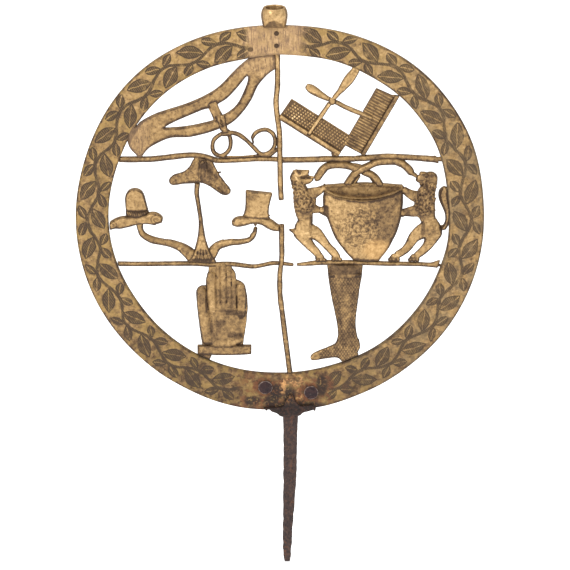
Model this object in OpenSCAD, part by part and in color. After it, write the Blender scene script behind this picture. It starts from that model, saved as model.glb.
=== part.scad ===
// Pole emblem: a flat brass ring with openwork trade figures inside it, a finial socket on top
// and a forged iron tang below. X runs to the viewer's right, -Y is the engraved front, Z is up.
// The origin is the middle of the tang's shoulder, where the top of the pole comes.

/* [Ring] */
// Outer radius of the ring
ring_r = 144; // [142:0.5:145]
// Radius of the ring's hole
hole_r = 119; // [118:0.25:120]
// Thickness of the cast ring
ring_t = 3.6; // [3.2:0.1:4]
// Distance of the engraved border lines from the ring's edges
border_w = 2.4; // [1.5:0.1:4]

/* [Bars and figures] */
// Thickness of the crossbars and of the figures' plates
bar_t = 3; // [2.6:0.1:3.2]
// How far the figures' rounded fronts stand before the ring's middle
relief = 4; // [3:0.25:5]
// How far the kettle's belly stands before the ring's middle
belly = 8; // [6:0.5:9]
// Half of the scroll's wire
wire_r = 1.2; // [1:0.1:1.4]

/* [Socket] */
// Radius of the socket's bore
bore_r = 6; // [5:0.25:6.5]
// Depth of the socket's bore
bore_depth = 10; // [8:0.5:11]

/* [Tang] */
// Width of the tang at its shoulder
tang_w = 10.5; // [9:0.5:12]
// Depth of the tang at its shoulder
tang_d = 8; // [6:0.5:9]
// Length of the tang below its shoulder
tang_l = 117; // [90:1:130]
// Thickness of the two iron leaves that grip the ring
leaf_t = 2.2; // [1.6:0.1:3]
// Radius of the iron rivets' shanks
rivet_r = 2.5; // [2:0.1:3]

/* [Hidden] */

// The ring stands a little left of the tang, and its hole is a little off the ring's centre
ring_x = -7.5;
ring_z = 148.8;
hole_shift = [-1, 152];
ring_chamfer = 0.6;
groove_w = 0.6;
groove_deep = 0.35;
back_y = bar_t / 2;
ring_back = ring_t / 2;
far = 400;

// Places in the ring's plane: x from the ring's middle line, z from the tang's shoulder
tang_rivet_at = [[-10.5, 22.8], [22.5, 18.8]];
socket_rivet_at = [[-2.3, 286.3], [-2.3, 277.5]];
socket_rivet_r = 1.4;
socket_x = -3.7;
socket_foot = 290.6;
socket_top = 304.5;
tongue_t = 1.6;
boss_at = [36.3, 237.6];
boss_r = 2.7;
kettle_x = 58.8;

// Curves

function curve_point(a, b, c, d, t) =
    0.5 * (2 * b + (c - a) * t + (2 * a - 5 * b + 4 * c - d) * t * t + (3 * b - a - 3 * c + d) * t * t * t);

// A smooth line through the points p, with n steps between neighbours
function smooth(p, n = 3) = let (last = len(p) - 1) concat(
    [for (i = [0:last - 1], k = [0:n - 1])
        curve_point(p[max(i - 1, 0)], p[i], p[i + 1], p[min(i + 2, last)], k / n)],
    [p[last]]
);

// A smooth closed line through the points p
function smooth_loop(p, n = 3) = let (m = len(p))
    [for (i = [0:m - 1], k = [0:n - 1])
        curve_point(p[(i + m - 1) % m], p[i], p[(i + 1) % m], p[(i + 2) % m], k / n)];

function flat_point(p) = [p[0], p[1]];

// The direction across the line at point i, to its left
function across(p, i) =
    let (
        a = flat_point(p[max(i - 1, 0)]),
        b = flat_point(p[min(i + 1, len(p) - 1)]),
        d = (b - a) / norm(b - a)
    )
    [-d[1], d[0]];

// The outline of a strip whose points are [x, z, half width]
function strip_outline(p) = concat(
    [for (i = [0:len(p) - 1]) flat_point(p[i]) + across(p, i) * p[i][2]],
    [for (i = [len(p) - 1:-1:0]) flat_point(p[i]) - across(p, i) * p[i][2]]
);

// A line of equal half widths
function wire(p, half) = [for (q = p) [q[0], q[1], half]];

// Middle lines of the bars and rods: [x, z, half width]

upper_left_outer = smooth([
    [-116, 195, 1.8], [-97, 195, 1.75], [-88, 195.3, 1.7], [-75, 196.8, 1.7], [-63, 198.1, 1.6],
    [-54, 197.3, 1.5], [-46, 194.9, 1.5], [-44, 194.4, 1.5]
]);
upper_left_inner = smooth([
    [-46, 194, 1.5], [-38, 193.9, 1.5], [-30, 194.3, 1.5], [-15, 195.2, 1.5], [-0.5, 194.8, 1.5]
]);
upper_right_inner = smooth([
    [0.5, 194.5, 1.8], [20, 194.8, 1.9], [35, 195.2, 1.9], [46, 195.2, 1.9], [53, 195.4, 1.8]
]);
upper_right_outer = smooth([
    [53, 195.4, 1.8], [62, 196, 1.85], [75, 196.9, 1.85], [90, 196.3, 1.8], [104, 195.2, 1.9], [109, 195, 2.4],
    [113, 195.2, 4]
]);
lower_left = smooth([
    [-116, 117, 1.5], [-100, 116.8, 1.5], [-80, 117, 1.5], [-62, 117.2, 1.5], [-50, 116.4, 1.5],
    [-35, 116.8, 1.4], [-20, 114.9, 1.4], [-12, 116, 1.3], [-5, 117.5, 1.3], [3, 117, 1.2], [9.5, 116.2, 0.8]
]);
lower_right = smooth([
    [12, 116.6, 0.8], [20, 117.2, 1.5], [28, 118, 1.7], [40, 118.2, 1.7], [57, 117.9, 1.6],
    [70, 117.5, 1.6], [80, 117.2, 1.5], [95, 117, 1.5], [106, 116.4, 1.5], [110, 116.6, 2.2], [115, 117, 3.5]
]);
upright_upper_line = smooth([
    [-1.7, 273, 1.7], [-1.6, 250, 1.7], [-2.6, 238, 1.7], [-2.2, 230, 1.7], [-0.4, 215, 1.7],
    [0, 200, 1.7], [0.2, 185, 1.7], [0.6, 172, 1.7], [1, 165, 1.6]
]);
upright_lower_line = smooth([
    [1.1, 146.3, 1.7], [1.3, 130, 1.7], [1.2, 120, 1.6], [0, 110, 1.6], [-0.1, 100, 1.7],
    [0.2, 90, 1.7], [2.2, 70, 1.7], [4.6, 50, 1.7], [6.9, 31, 1.7]
]);
stem_line = smooth([
    [-57.9, 177, 1.6], [-58.4, 170, 1.4], [-57.2, 160, 1.2], [-55.9, 150, 1.2], [-55.5, 141, 1.9],
    [-55.5, 133, 3.3], [-55.2, 126, 5.6], [-55.1, 121, 8.4], [-55.4, 116, 11.4]
]);

// Flat outlines

module strip(p) {
    polygon(strip_outline(p));
}

module hole_outline() {
    translate(hole_shift) circle(hole_r, $fn = 180);
}

// A bar with everything beyond it on one side: side is 1 above the bar and -1 below it
module beyond(p, side) {
    last = len(p) - 1;
    strip(p);
    polygon(concat([for (q = p) flat_point(q)], [[p[last][0], far * side], [p[0][0], far * side]]));
}

module above_upper_bars() {
    beyond(upper_left_outer, 1);
    beyond(upper_left_inner, 1);
    beyond(upper_right_inner, 1);
    beyond(upper_right_outer, 1);
}

module below_upper_bars() {
    beyond(upper_left_outer, -1);
    beyond(upper_left_inner, -1);
    beyond(upper_right_inner, -1);
    beyond(upper_right_outer, -1);
}

module above_lower_bars() {
    beyond(lower_left, 1);
    beyond(lower_right, 1);
}

module below_lower_bars() {
    beyond(lower_left, -1);
    beyond(lower_right, -1);
}

// Building blocks

// Stands a flat shape up in the plane of the ring, from y = back forwards by t
module upright(t, back) {
    translate([ring_x, back, 0])
        rotate([90, 0, 0])
            linear_extrude(t)
                children();
}

// A flat shape as thick as the crossbars, cut off at the ring's hole
module plate() {
    upright(bar_t, back_y)
        intersection() {
            children();
            hole_outline();
        }
}

// Sweeps a profile of [share of the half width, y] along p, or of two shares if it is round
module sweep(p, profile, round = false) {
    k = len(profile);
    n = len(p);
    points = [for (i = [0:n - 1], s = profile)
        let (q = flat_point(p[i]) + across(p, i) * s[0] * p[i][2])
        [ring_x + q[0], round ? s[1] * p[i][2] : s[1], q[1]]];
    sides = [for (i = [0:n - 2], j = [0:k - 1])
        [i * k + j, i * k + (j + 1) % k, (i + 1) * k + (j + 1) % k, (i + 1) * k + j]];
    ends = [[for (j = [k - 1:-1:0]) j], [for (j = [0:k - 1]) (n - 1) * k + j]];
    polyhedron(points, concat(sides, ends), convexity = 6);
}

// A strip with a flat back and a rounded front that reaches y = -front
module cast_strip(p, front = back_y) {
    edge = back_y - (back_y + front) * 0.6;
    sweep(p, [[1, back_y], [1, edge], [0.6, -front], [-0.6, -front], [-1, edge], [-1, back_y]]);
}

// A rounded rod with the half widths of p, whose two flat sides stand square to the ring's plane
module rod(p, sides = 8) {
    corner = 1 / cos(180 / sides);
    sweep(p, [for (k = [0:sides - 1]) let (a = (k + 0.5) * 360 / sides) corner * [cos(a), sin(a)]], true);
}

// Keeps what lies within the ring's hole
module within_ring() {
    intersection() {
        children();
        translate([ring_x + hole_shift[0], far / 2, hole_shift[1]])
            rotate([90, 0, 0])
                cylinder(r = hole_r, h = far, $fn = 180);
    }
}

// A plate with a bowed front over the children's outline, between cx - half and cx + half
module bowed(cx, half, front) {
    plate() children();
    intersection() {
        upright(front + back_y, back_y) children();
        translate([ring_x + cx, 0, 0])
            scale([1, front / half, 1])
                cylinder(r = half, h = far, $fn = 60);
    }
}

// A limb between the balls [x, z, radius] a and b, whose depth is the share flat of its width
module limb(a, b, flat) {
    hull()
        for (q = [a, b])
            translate([ring_x + q[0], 0, q[1]])
                scale([1, flat, 1])
                    sphere(q[2], $fn = 12);
}

// Chains of limbs, cut flat at the back
module limbs(chains, flat = 0.62) {
    intersection() {
        for (p = chains, i = [0:len(p) - 2])
            limb(p[i], p[i + 1], flat);
        translate([-far / 2, back_y - far, -far / 2]) cube([far, far, 2 * far]);
    }
}

// A rivet along Y at [x, z] with a domed head at both ends
module rivet(at, shank_r, head_r, dome, front_y, rear_y, rear_r) {
    translate([ring_x + at[0], 0, at[1]])
        rotate([90, 0, 0]) {
            translate([0, 0, -rear_y]) cylinder(r = shank_r, h = rear_y - front_y, $fn = 48);
            translate([0, 0, -front_y]) dome(head_r, dome);
            translate([0, 0, -rear_y]) mirror([0, 0, 1]) dome(rear_r, dome * 0.7);
        }
}

// A low dome over the circle r
module dome(r, h) {
    rotate_extrude($fn = 48)
        polygon(concat([[0, 0]], [for (a = [0:15:90]) [r * cos(a), h * sin(a)]]));
}

module rivet_holes(places, r) {
    for (at = places)
        translate([ring_x + at[0], far / 2, at[1]])
            rotate([90, 0, 0])
                cylinder(r = r, h = far, $fn = 48);
}

// Ring and socket

// The whole disc that the ring is cut from
module ring_disc() {
    translate([ring_x, ring_back, ring_z])
        rotate([90, 0, 0])
            rotate_extrude($fn = 180)
                polygon([
                    [0, 0], [ring_r - ring_chamfer, 0], [ring_r, ring_chamfer],
                    [ring_r, ring_t - ring_chamfer], [ring_r - ring_chamfer, ring_t], [0, ring_t]
                ]);
}

// An engraved border line of radius r on the ring's front
module border_line(x, z, r) {
    translate([x, -ring_back + groove_deep, z])
        rotate([90, 0, 0])
            rotate_extrude($fn = 180)
                translate([r - groove_w / 2, 0]) square([groove_w, 2 * groove_deep]);
}

module ring_band() {
    color("darkkhaki")
        difference() {
            ring_disc();
            translate([ring_x + hole_shift[0], far / 2, hole_shift[1]])
                rotate([90, 0, 0])
                    cylinder(r = hole_r, h = far, $fn = 180);
            border_line(ring_x, ring_z, ring_r - border_w);
            border_line(ring_x + hole_shift[0], hole_shift[1], hole_r + border_w);
            rivet_holes(tang_rivet_at, rivet_r);
            rivet_holes(socket_rivet_at, socket_rivet_r);
        }
}

// The barrel's turned outside: [radius, z]
socket_profile = smooth([[8.1, socket_foot], [8.4, 293], [9, 296.5], [9.2, 299.5], [8.7, 302.2],
    [8, 303.6], [7.8, socket_top]]);

module top_socket() {
    color("tan")
        difference() {
            union() {
                translate([ring_x + socket_x, 0, 0])
                    rotate_extrude($fn = 96)
                        polygon(concat([[0, socket_foot]], socket_profile, [[0, socket_top]]));
                upright(tongue_t, ring_back + tongue_t) {
                    translate([socket_x - 6, 275]) square([12, socket_foot - 274]);
                    translate([socket_x, 275]) circle(6, $fn = 48);
                }
            }
            ring_disc();
            translate([ring_x + socket_x, 0, socket_top - bore_depth])
                cylinder(r = bore_r, h = bore_depth + 1, $fn = 96);
            rivet_holes(socket_rivet_at, socket_rivet_r);
        }
}

module socket_rivets() {
    color("saddlebrown")
        for (at = socket_rivet_at)
            rivet(at, socket_rivet_r, 1.9, 0.6, -ring_back, ring_back + tongue_t, 2.2);
}

// Upright and crossbars

module upright_upper() {
    color("tan")
        within_ring()
            rod(upright_upper_line);
}

// The rod lies before the lower crossbar and is halved over it
module upright_lower() {
    color("tan")
        difference() {
            within_ring()
                rod(upright_lower_line);
            upright(far / 2, far / 2) strip(lower_left);
        }
}

module bar(p) {
    color("rosybrown")
        within_ring()
            cast_strip(p);
}

module upper_bar_left_outer() {
    bar(upper_left_outer);
}

// The inner lengths end against the upright's flat sides
module upper_bar_left_inner() {
    difference() {
        bar(upper_left_inner);
        color("rosybrown")
            upright(far, far / 2) strip(upright_upper_line);
    }
}

module upper_bar_right_inner() {
    difference() {
        bar(upper_right_inner);
        color("rosybrown")
            upright(far, far / 2) strip(upright_upper_line);
    }
}

module upper_bar_right_outer() {
    bar(upper_right_outer);
}

module lower_bar_left() {
    difference() {
        bar(lower_left);
        color("rosybrown")
            upright(far / 2, 0) strip(upright_lower_line);
    }
}

module lower_bar_right() {
    bar(lower_right);
}

// Harness collar and its cord

strut_line = [[-46.8, 236.5, 2.7], [-44, 230, 2.4], [-41.4, 223.6, 3]];

module collar_frame() {
    upper_edge = smooth([
        [-98.4, 195.5], [-102, 201.7], [-105.4, 209], [-103.6, 215], [-97.5, 221.6], [-85, 228.3], [-65, 235],
        [-50, 242], [-41, 248.3], [-33, 257], [-25, 264.8], [-18, 268.6], [-1.6, 269.4]
    ]);
    lower_edge = smooth([
        [-1.6, 262], [-8.5, 257.2], [-15.8, 248.3], [-20, 238.6], [-27.5, 228], [-34.5, 221.4],
        [-43, 217.4], [-56, 213.2], [-65, 211.6], [-76, 211.2], [-85, 207.6], [-92, 203.2], [-96.6, 197.5],
        [-97.4, 195.5]
    ]);
    long_opening = smooth_loop([
        [-80, 217.6], [-77, 221], [-62.5, 227.8], [-52, 232], [-44, 232], [-44, 224.6], [-52.5, 221.2],
        [-66, 218.6]
    ]);
    short_opening = smooth_loop([
        [-22.6, 256], [-22, 251.2], [-25.2, 243], [-29.6, 234.5], [-37.5, 227.8], [-44, 226.6],
        [-44, 234.8], [-37, 239.6], [-29, 248.5]
    ]);
    color("goldenrod")
        plate()
            difference() {
                polygon(concat(upper_edge, lower_edge));
                polygon(long_opening);
                polygon(short_opening);
                strip(strut_line);
                strip(upright_upper_line);
                below_upper_bars();
            }
}

// The strut with the cord's two turns round the collar
module collar_strut() {
    color("tan") {
        plate() strip(strut_line);
        for (k = [0, 1])
            upright(1, -back_y)
                strip([[-43.4 + 3.2 * k, 226.4 + 0.8 * k, 1], [-40.4 + 2.6 * k, 216.6 + 0.9 * k, 1]]);
    }
}

// The loop's outline: an egg w wide and h high on each side of its middle
module egg(w, h) {
    polygon([for (a = [0:15:345]) [-41 + w * cos(a), 205 + h * sin(a)]]);
}

module scroll_outline(half) {
    wave = smooth([[-39, 214.2], [-34, 215.3], [-30, 213.8], [-25.2, 209.5], [-20.5, 204], [-15.5, 199.2],
        [-10, 197.6]], 4);
    eye = smooth([[-13, 198.1], [-6.5, 200], [-3.2, 204], [-2.9, 209], [-4.8, 213.5], [-9, 216.4],
        [-13.8, 216.2], [-17.6, 213], [-19.2, 208]], 4);
    difference() {
        egg(6.2 + half, 8.3 + half);
        egg(6.2 - half, 8.3 - half);
    }
    strip(wire([[-39.6, 216.6], [-38.6, 212.6]], half + 0.4));
    for (line = [wave, eye, [[-9, 197.4], [-5, 199.4], [-0.6, 203]]])
        strip(wire(line, half));
}

// The cord is cast flat, with its front edges rounded off
module cord_scroll() {
    color("tan")
        for (layer = [[0.5, 1], [0, 0.6]])
            upright(bar_t - layer[0], back_y)
                difference() {
                    scroll_outline(wire_r * layer[1]);
                    strip(upright_upper_line);
                    below_upper_bars();
                }
}

// Wool cards

left_card_size = [49, 15];
right_card_size = [54, 14.2];
right_card_face = [47.4, 14.2];
cloth_t = 0.4;
card_edge_w = 3.1;
card_t = 2;
tooth_h = 1;

left_handle_line = smooth([
    [20.5, 213.6, 1.2], [28, 225, 1.35], [36.3, 237.6, 1.3], [41, 243.6, 1.7], [44.5, 248, 3.1],
    [47.6, 252.4, 3.9], [51, 257, 3.4], [54, 262, 2.4]
]);
right_handle_line = smooth([
    [64, 225.4, 1.2], [50, 231.4, 1.35], [36.3, 237.6, 1.3], [31, 240.2, 1.7], [26, 243.2, 2.6],
    [21.4, 246.3, 2.8], [18.4, 248.3, 1.5]
]);

module at_left_card() {
    translate([0.4, 225]) rotate(-33.3) children();
}

module at_right_card() {
    translate([59.2, 197.4]) rotate(61.3) children();
}

module handles_outline() {
    strip(left_handle_line);
    strip(right_handle_line);
}

module right_card_outline() {
    at_right_card() square(right_card_size);
}

module left_card_outline() {
    difference() {
        at_left_card() square(left_card_size);
        right_card_outline();
        below_upper_bars();
        strip(upright_upper_line);
    }
}

// The cloth that the teeth stand in covers the board beside its edge strip
module card_cloth(size) {
    translate([0, card_edge_w]) square([size[0], size[1] - card_edge_w]);
}

// Rows of upright teeth over a field: pitch and tooth are [along, across]
module tooth_field(start, field, pitch, tooth) {
    translate(start)
        for (i = [0:floor(field[0] / pitch[0]) - 1], j = [0:floor(field[1] / pitch[1]) - 1])
            translate([i * pitch[0], j * pitch[1]]) square(tooth);
}

module left_card_board() {
    color("peru") {
        upright(card_t, back_y)
            difference() {
                left_card_outline();
                handles_outline();
            }
        upright(card_t + tooth_h + 0.6, back_y)
            difference() {
                at_left_card() square([left_card_size[0], card_edge_w]);
                right_card_outline();
                below_upper_bars();
                handles_outline();
                strip(upright_upper_line);
            }
        plate()
            difference() {
                translate([36.4, 195]) square([5, 5.5]);
                below_upper_bars();
                at_left_card() square(left_card_size);
            }
    }
}

module left_card_teeth() {
    color("darkgoldenrod")
        for (layer = [0, 1])
            upright(layer == 0 ? cloth_t : tooth_h, back_y - card_t)
                difference() {
                    intersection() {
                        at_left_card() {
                            if (layer == 0) card_cloth(left_card_size);
                            else tooth_field([0.8, card_edge_w + 0.5], [48.4, 11.4], [2.2, 1.85], [1.5, 1.3]);
                        }
                        left_card_outline();
                    }
                    handles_outline();
                }
}

module right_card_board() {
    color("peru") {
        upright(card_t, back_y)
            intersection() {
                difference() {
                    at_right_card() square(right_card_face);
                    handles_outline();
                    below_upper_bars();
                }
                hole_outline();
            }
        upright(card_t + tooth_h + 0.6, back_y)
            intersection() {
                difference() {
                    at_right_card() square([right_card_size[0], card_edge_w]);
                    below_upper_bars();
                }
                hole_outline();
            }
    }
}

module right_card_teeth() {
    color("darkgoldenrod")
        for (layer = [0, 1])
            upright(layer == 0 ? cloth_t : tooth_h, back_y - card_t)
                difference() {
                    at_right_card() {
                        if (layer == 0) card_cloth(right_card_face);
                        else tooth_field([0.8, card_edge_w + 0.5], [46.4, 10.7], [2.1, 5.3], [1.2, 4.8]);
                    }
                    handles_outline();
                    below_upper_bars();
                }
}

// The handles are halved at their crossing: this one keeps its front half there
module left_card_handle() {
    color("wheat")
        within_ring()
            difference() {
                cast_strip(left_handle_line, 2.2);
                upright(far / 2, far / 2)
                    translate(boss_at) circle(boss_r, $fn = 48);
                rivet_holes([boss_at], 1);
            }
}

module right_card_handle() {
    color("wheat")
        difference() {
            cast_strip(right_handle_line, 2.2);
            upright(far / 2, 0)
                translate(boss_at) circle(boss_r, $fn = 48);
            rivet_holes([boss_at], 1);
        }
}

module handle_boss() {
    color("wheat")
        rivet(boss_at, 1, boss_r, 0.8, -2.2, back_y, 1.8);
}

// Hat stand and hats

module stand_stem() {
    color("goldenrod")
        plate()
            difference() {
                strip(stem_line);
                below_lower_bars();
                bicorne_outline();
            }
    color("goldenrod")
        for (k = [-2:2])
            upright(0.7, -back_y)
                strip([[-55.2 + 0.6 * k, 134, 0.3], [-55.2 + 3.1 * k, 120.6, 0.8]]);
}

module stand_arm(p) {
    color("goldenrod")
        difference() {
            cast_strip(p, relief * 0.5);
            upright(far, far / 2) {
                strip(stem_line);
                below_lower_bars();
            }
        }
}

module stand_arm_left() {
    difference() {
        stand_arm(smooth([
            [-58, 118, 4.6], [-63, 124.2, 4.3], [-67, 128, 3.7], [-71, 130.6, 3], [-78, 133.2, 2.4],
            [-84, 134, 2], [-90, 134.7, 1.9], [-95, 137, 1.8], [-98, 140.5, 1.75], [-99, 149, 2.1]
        ]));
        color("goldenrod")
            upright(far, far / 2) strip(round_brim_line);
    }
}

module stand_arm_right() {
    stand_arm(smooth([
        [-53, 117, 4], [-48, 125, 3.5], [-44.6, 129.8, 2.7], [-40, 132, 2.5], [-34, 133.2, 2.1],
        [-28, 133.4, 1.8], [-22, 134.8, 1.5], [-19, 137.5, 1.4], [-17.5, 141, 1.15], [-17.3, 143.7, 0.9]
    ]));
}

module bicorne_outline() {
    polygon(smooth_loop([
        [-59.5, 199], [-60.2, 192.3], [-67.5, 185.3], [-75, 182.7], [-77.8, 179.3], [-75.2, 176],
        [-65, 177.7], [-55.5, 177.8], [-49, 175.2], [-41.7, 169.6], [-37, 168.7], [-34.6, 172],
        [-39.2, 178.3], [-43, 184], [-46.4, 191], [-49, 199]
    ]));
}

module bicorne_hat() {
    color("sienna") {
        plate()
            difference() {
                bicorne_outline();
                above_upper_bars();
            }
        limbs([[[-54, 184.4, 6.4], [-62, 181.6, 4.6], [-74.6, 179.2, 2.7]],
            [[-54, 184.4, 6.4], [-46.6, 179.4, 4.4], [-37.8, 171.9, 2.7]],
            [[-54, 190.6, 4.6], [-54, 184.4, 6.4]]], 0.55);
    }
}

module round_hat_crown() {
    color("tan")
        bowed(-101, 8.4, relief)
            polygon(concat([[-108.5, 157]], smooth([[-108.8, 160], [-109, 166], [-107.6, 170.4], [-104.8, 172.9],
                [-101, 173.5], [-97.6, 172.1], [-95.4, 168.8], [-94, 163], [-92.5, 157]])));
}

module round_hat_band() {
    color("saddlebrown")
        bowed(-100.4, 8.4, relief + 0.5)
            difference() {
                polygon([[-108.7, 157], [-108.5, 151], [-92.2, 152], [-92.3, 157]]);
                strip(round_brim_line);
            }
}

round_brim_line = smooth([
    [-122, 143.6, 1.4], [-117.5, 146.6, 2.8], [-112.5, 147.9, 4], [-107, 149.2, 3.5], [-101, 150.1, 2.4],
    [-95, 151, 3.1], [-90, 151.4, 4.3], [-86, 150.9, 3.6], [-83, 150.1, 1.6]
]);

module round_hat_brim() {
    color("tan")
        within_ring()
            cast_strip(round_brim_line, relief);
}

top_brim_line = smooth([
    [-33.6, 147.8, 1.2], [-30.8, 148.4, 3.2], [-26, 149.3, 3.4], [-19, 150.2, 2.5], [-12, 149.4, 2.8],
    [-8, 147.4, 3.3], [-4, 145, 2.8], [0.4, 143.6, 1.5]
]);

module top_hat_crown() {
    color("tan")
        bowed(-15.6, 9.6, relief)
            difference() {
                polygon(concat([[-23.7, 171.6], [-5.6, 169.6]], smooth([[-5.6, 169.6], [-8, 160], [-8.2, 150]]),
                    smooth([[-27, 150], [-24.1, 158], [-23.7, 171.6]])));
                strip(top_brim_line);
            }
}

module top_hat_brim() {
    color("tan")
        difference() {
            cast_strip(top_brim_line, relief);
            upright(far, far / 2) strip(upright_lower_line);
        }
}

// Kettle and the rolls above it

// The kettle's half outline: [radius, z]
kettle_side = smooth([[27.6, 176.4], [27.3, 163], [25.8, 154], [22.6, 144.5], [18.6, 135.5], [14, 127.5],
    [10.2, 122], [8, 117]]);
// The front lip of the kettle's mouth
mouth_line = smooth([[30.8, 172], [40, 169], [48, 167.4], [58.5, 166.7], [68, 167.6], [77, 170], [86.8, 173]]);

module kettle_outline() {
    translate([kettle_x, 0])
        polygon(concat(kettle_side, [for (i = [len(kettle_side) - 1:-1:0]) [-kettle_side[i][0], kettle_side[i][1]]]));
}

module mouth_outline() {
    polygon(concat(mouth_line, [[86.8, 200], [30.8, 200]]));
}

// The half-round body: a turned bowl pressed to the belly's depth
module kettle_body() {
    color("peru")
        difference() {
            union() {
                plate() kettle_outline();
                intersection() {
                    translate([ring_x + kettle_x, 0, 0])
                        scale([1, belly / kettle_side[0][0], 1])
                            rotate_extrude($fn = 96)
                                polygon(concat([[0, 176.4]], kettle_side, [[0, 117]]));
                    upright(far, back_y) square(far);
                }
                plate() translate([28.4, 152]) square([7, 7.5]);
            }
            upright(far, far / 2) {
                mouth_outline();
                below_lower_bars();
            }
        }
}

// The open mouth: a sunk lens between the back rim and the raised front lip
module kettle_mouth() {
    color("saddlebrown") {
        plate()
            intersection() {
                translate([kettle_x, 0])
                    polygon(concat([[-27.6, 160], [27.6, 160]], smooth([[27.6, 176], [0, 177.8], [-27.6, 176]])));
                mouth_outline();
            }
        difference() {
            upright(belly * 0.55, -back_y)
                strip([for (q = mouth_line) [q[0], q[1] + 0.7, 0.7]]);
            translate([ring_x + kettle_x, 0, 0])
                difference() {
                    cylinder(r = far, h = far);
                    scale([1, belly / kettle_side[0][0], 1]) cylinder(r = kettle_side[0][0], h = far, $fn = 96);
                }
        }
        upright(1, -back_y)
            strip(wire(smooth([[31.6, 175.3], [58.8, 176.9], [86, 175.3]]), 0.7));
    }
}

left_roll_line = smooth([
    [25.4, 180.3, 1.2], [28.3, 185.8, 2.1], [31.7, 189.4, 2.2], [36.7, 191.2, 2.2], [45, 191.2, 2.2],
    [51, 189.6, 2.2], [58.4, 186.5, 2.2], [64, 184, 2.2], [67.5, 181, 2.2], [70.5, 176, 2.2]
]);
right_roll_line = smooth([
    [47, 175.5, 2.2], [51.7, 182.8, 2.3], [56.7, 187.2, 2.3], [62, 190.3, 2.3], [69, 192.5, 2.2],
    [80, 193, 2.2], [85.4, 191.6, 2.2], [88.6, 188.2, 2], [92, 184.8, 1.1], [95.6, 182.2, 0.9]
]);

module roll_cuts() {
    upright(far, far / 2) {
        above_upper_bars();
        intersection() {
            kettle_outline();
            translate([0, -1.1]) polygon([[30, 100], [90, 100], [90, 176.6], [58.8, 178.4], [30, 176.6]]);
        }
    }
}

module left_roll() {
    color("goldenrod")
        difference() {
            cast_strip(left_roll_line, relief * 0.75);
            roll_cuts();
            upright(far / 2, 0) strip(right_roll_line);
        }
}

module right_roll() {
    color("goldenrod")
        difference() {
            cast_strip(right_roll_line, relief * 0.75);
            roll_cuts();
            upright(far / 2, far / 2) strip(left_roll_line);
        }
}

// Lions

// What the lions' limbs are cut by: kettle, rolls and the lower crossbar
module lion_cuts() {
    upright(far, far / 2) {
        kettle_outline();
        translate([28.4, 152]) square([7, 7.5]);
        below_lower_bars();
        strip(left_roll_line);
        strip(right_roll_line);
    }
}

// Rows of curls: each is [x, z, radius]
module curls(p) {
    for (q = p)
        translate([ring_x + q[0], -relief * 0.55, q[1]])
            sphere(q[2], $fn = 10);
}

module left_lion() {
    color("burlywood")
        difference() {
            union() {
                limbs([
                    [[11.8, 182.2, 4.1], [14, 183.6, 2.9], [18.9, 184.6, 1.7]],
                    [[12.4, 179.4, 3.4], [19, 178.2, 1.5]],
                    [[16.4, 180.7, 0.9], [25, 179.9, 0.8]],
                    [[11.6, 180, 3.8], [14.6, 173, 4.4], [16, 168.4, 5.6], [17.2, 162, 6.6], [17.6, 155.6, 5.4],
                        [17.8, 149.6, 4.9], [17, 143.2, 6.3], [15.8, 139.8, 5.2]],
                    [[19.6, 169, 3.7], [26, 172, 2.3], [32.5, 173, 2.7]],
                    [[20.6, 159.6, 3.6], [25.4, 158, 2.7], [31, 157, 2.1]],
                    [[15.8, 139.8, 5.2], [19.9, 132.4, 3.5], [24.6, 126.4, 2.7], [27.7, 122, 2.2]],
                    [[27, 120.6, 2.1], [31.9, 120.2, 1.6]],
                    [[18.4, 143, 6.2], [28.6, 137.6, 4.3], [33, 131.4, 2.8], [36.6, 126, 2.3], [38.4, 122.4, 2.3]],
                    [[38.2, 120.8, 2.2], [42, 120.6, 1.9]],
                    [[11.4, 140.4, 1.8], [7.8, 141.6, 0.9]]
                ]);
                curls([[12.4, 175, 1.7], [14.5, 170.5, 1.9], [12.8, 166, 1.8], [18, 172.4, 1.6], [17.6, 167.2, 1.9],
                    [21.8, 165.8, 1.7], [14.2, 161.4, 1.8], [18.8, 162, 1.9], [22.4, 161.2, 1.5], [13.8, 156.6, 1.8],
                    [18, 157, 1.9], [21.4, 155.6, 1.6]]);
            }
            lion_cuts();
        }
}

module right_lion() {
    color("burlywood")
        difference() {
            union() {
                limbs([
                    [[105.4, 180.4, 4.8], [101.6, 181.4, 3.3], [97.2, 181.2, 2.1]],
                    [[104.4, 176.6, 3.2], [98.8, 177.4, 1.5]],
                    [[105.6, 178, 4.9], [104, 171.6, 5.2], [102.6, 166.4, 6.4], [102, 161, 6.9],
                        [102.8, 155.6, 5.9], [104.3, 149.8, 5.5], [106.4, 143.6, 7.4], [107, 139.6, 6]],
                    [[98.6, 168.6, 3.6], [92.6, 168.8, 2.9], [86, 172, 2.7]],
                    [[98.4, 156.8, 4.2], [91, 155.9, 2.5], [84, 155.2, 3]],
                    [[107, 139.6, 6], [104, 132.6, 3.5], [101.2, 128.4, 3], [96.6, 123.6, 2.6]],
                    [[96.6, 121.2, 2.4], [92.6, 120.8, 1.9]],
                    [[104, 143.6, 6], [95.8, 138, 4.3], [93, 132.8, 3], [90.2, 128.6, 2.5], [83.4, 123.4, 2.5]],
                    [[82.4, 121.2, 2.5], [78.6, 121, 2]],
                    [[110, 144.6, 2.6], [113.2, 144.2, 1.4]]
                ]);
                curls([[107.4, 176, 1.8], [103.4, 173.6, 1.8], [107, 171, 1.8], [102, 168.8, 1.9], [106, 166.4, 1.9],
                    [98.8, 165, 1.8], [102.8, 163.4, 1.9], [106.4, 161.4, 1.7], [99.2, 160.2, 1.8],
                    [103.4, 158, 1.9], [100.4, 155.2, 1.6], [106, 156, 1.6]]);
            }
            lion_cuts();
            upright(far, far / 2) strip(tail_line);
        }
}

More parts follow.
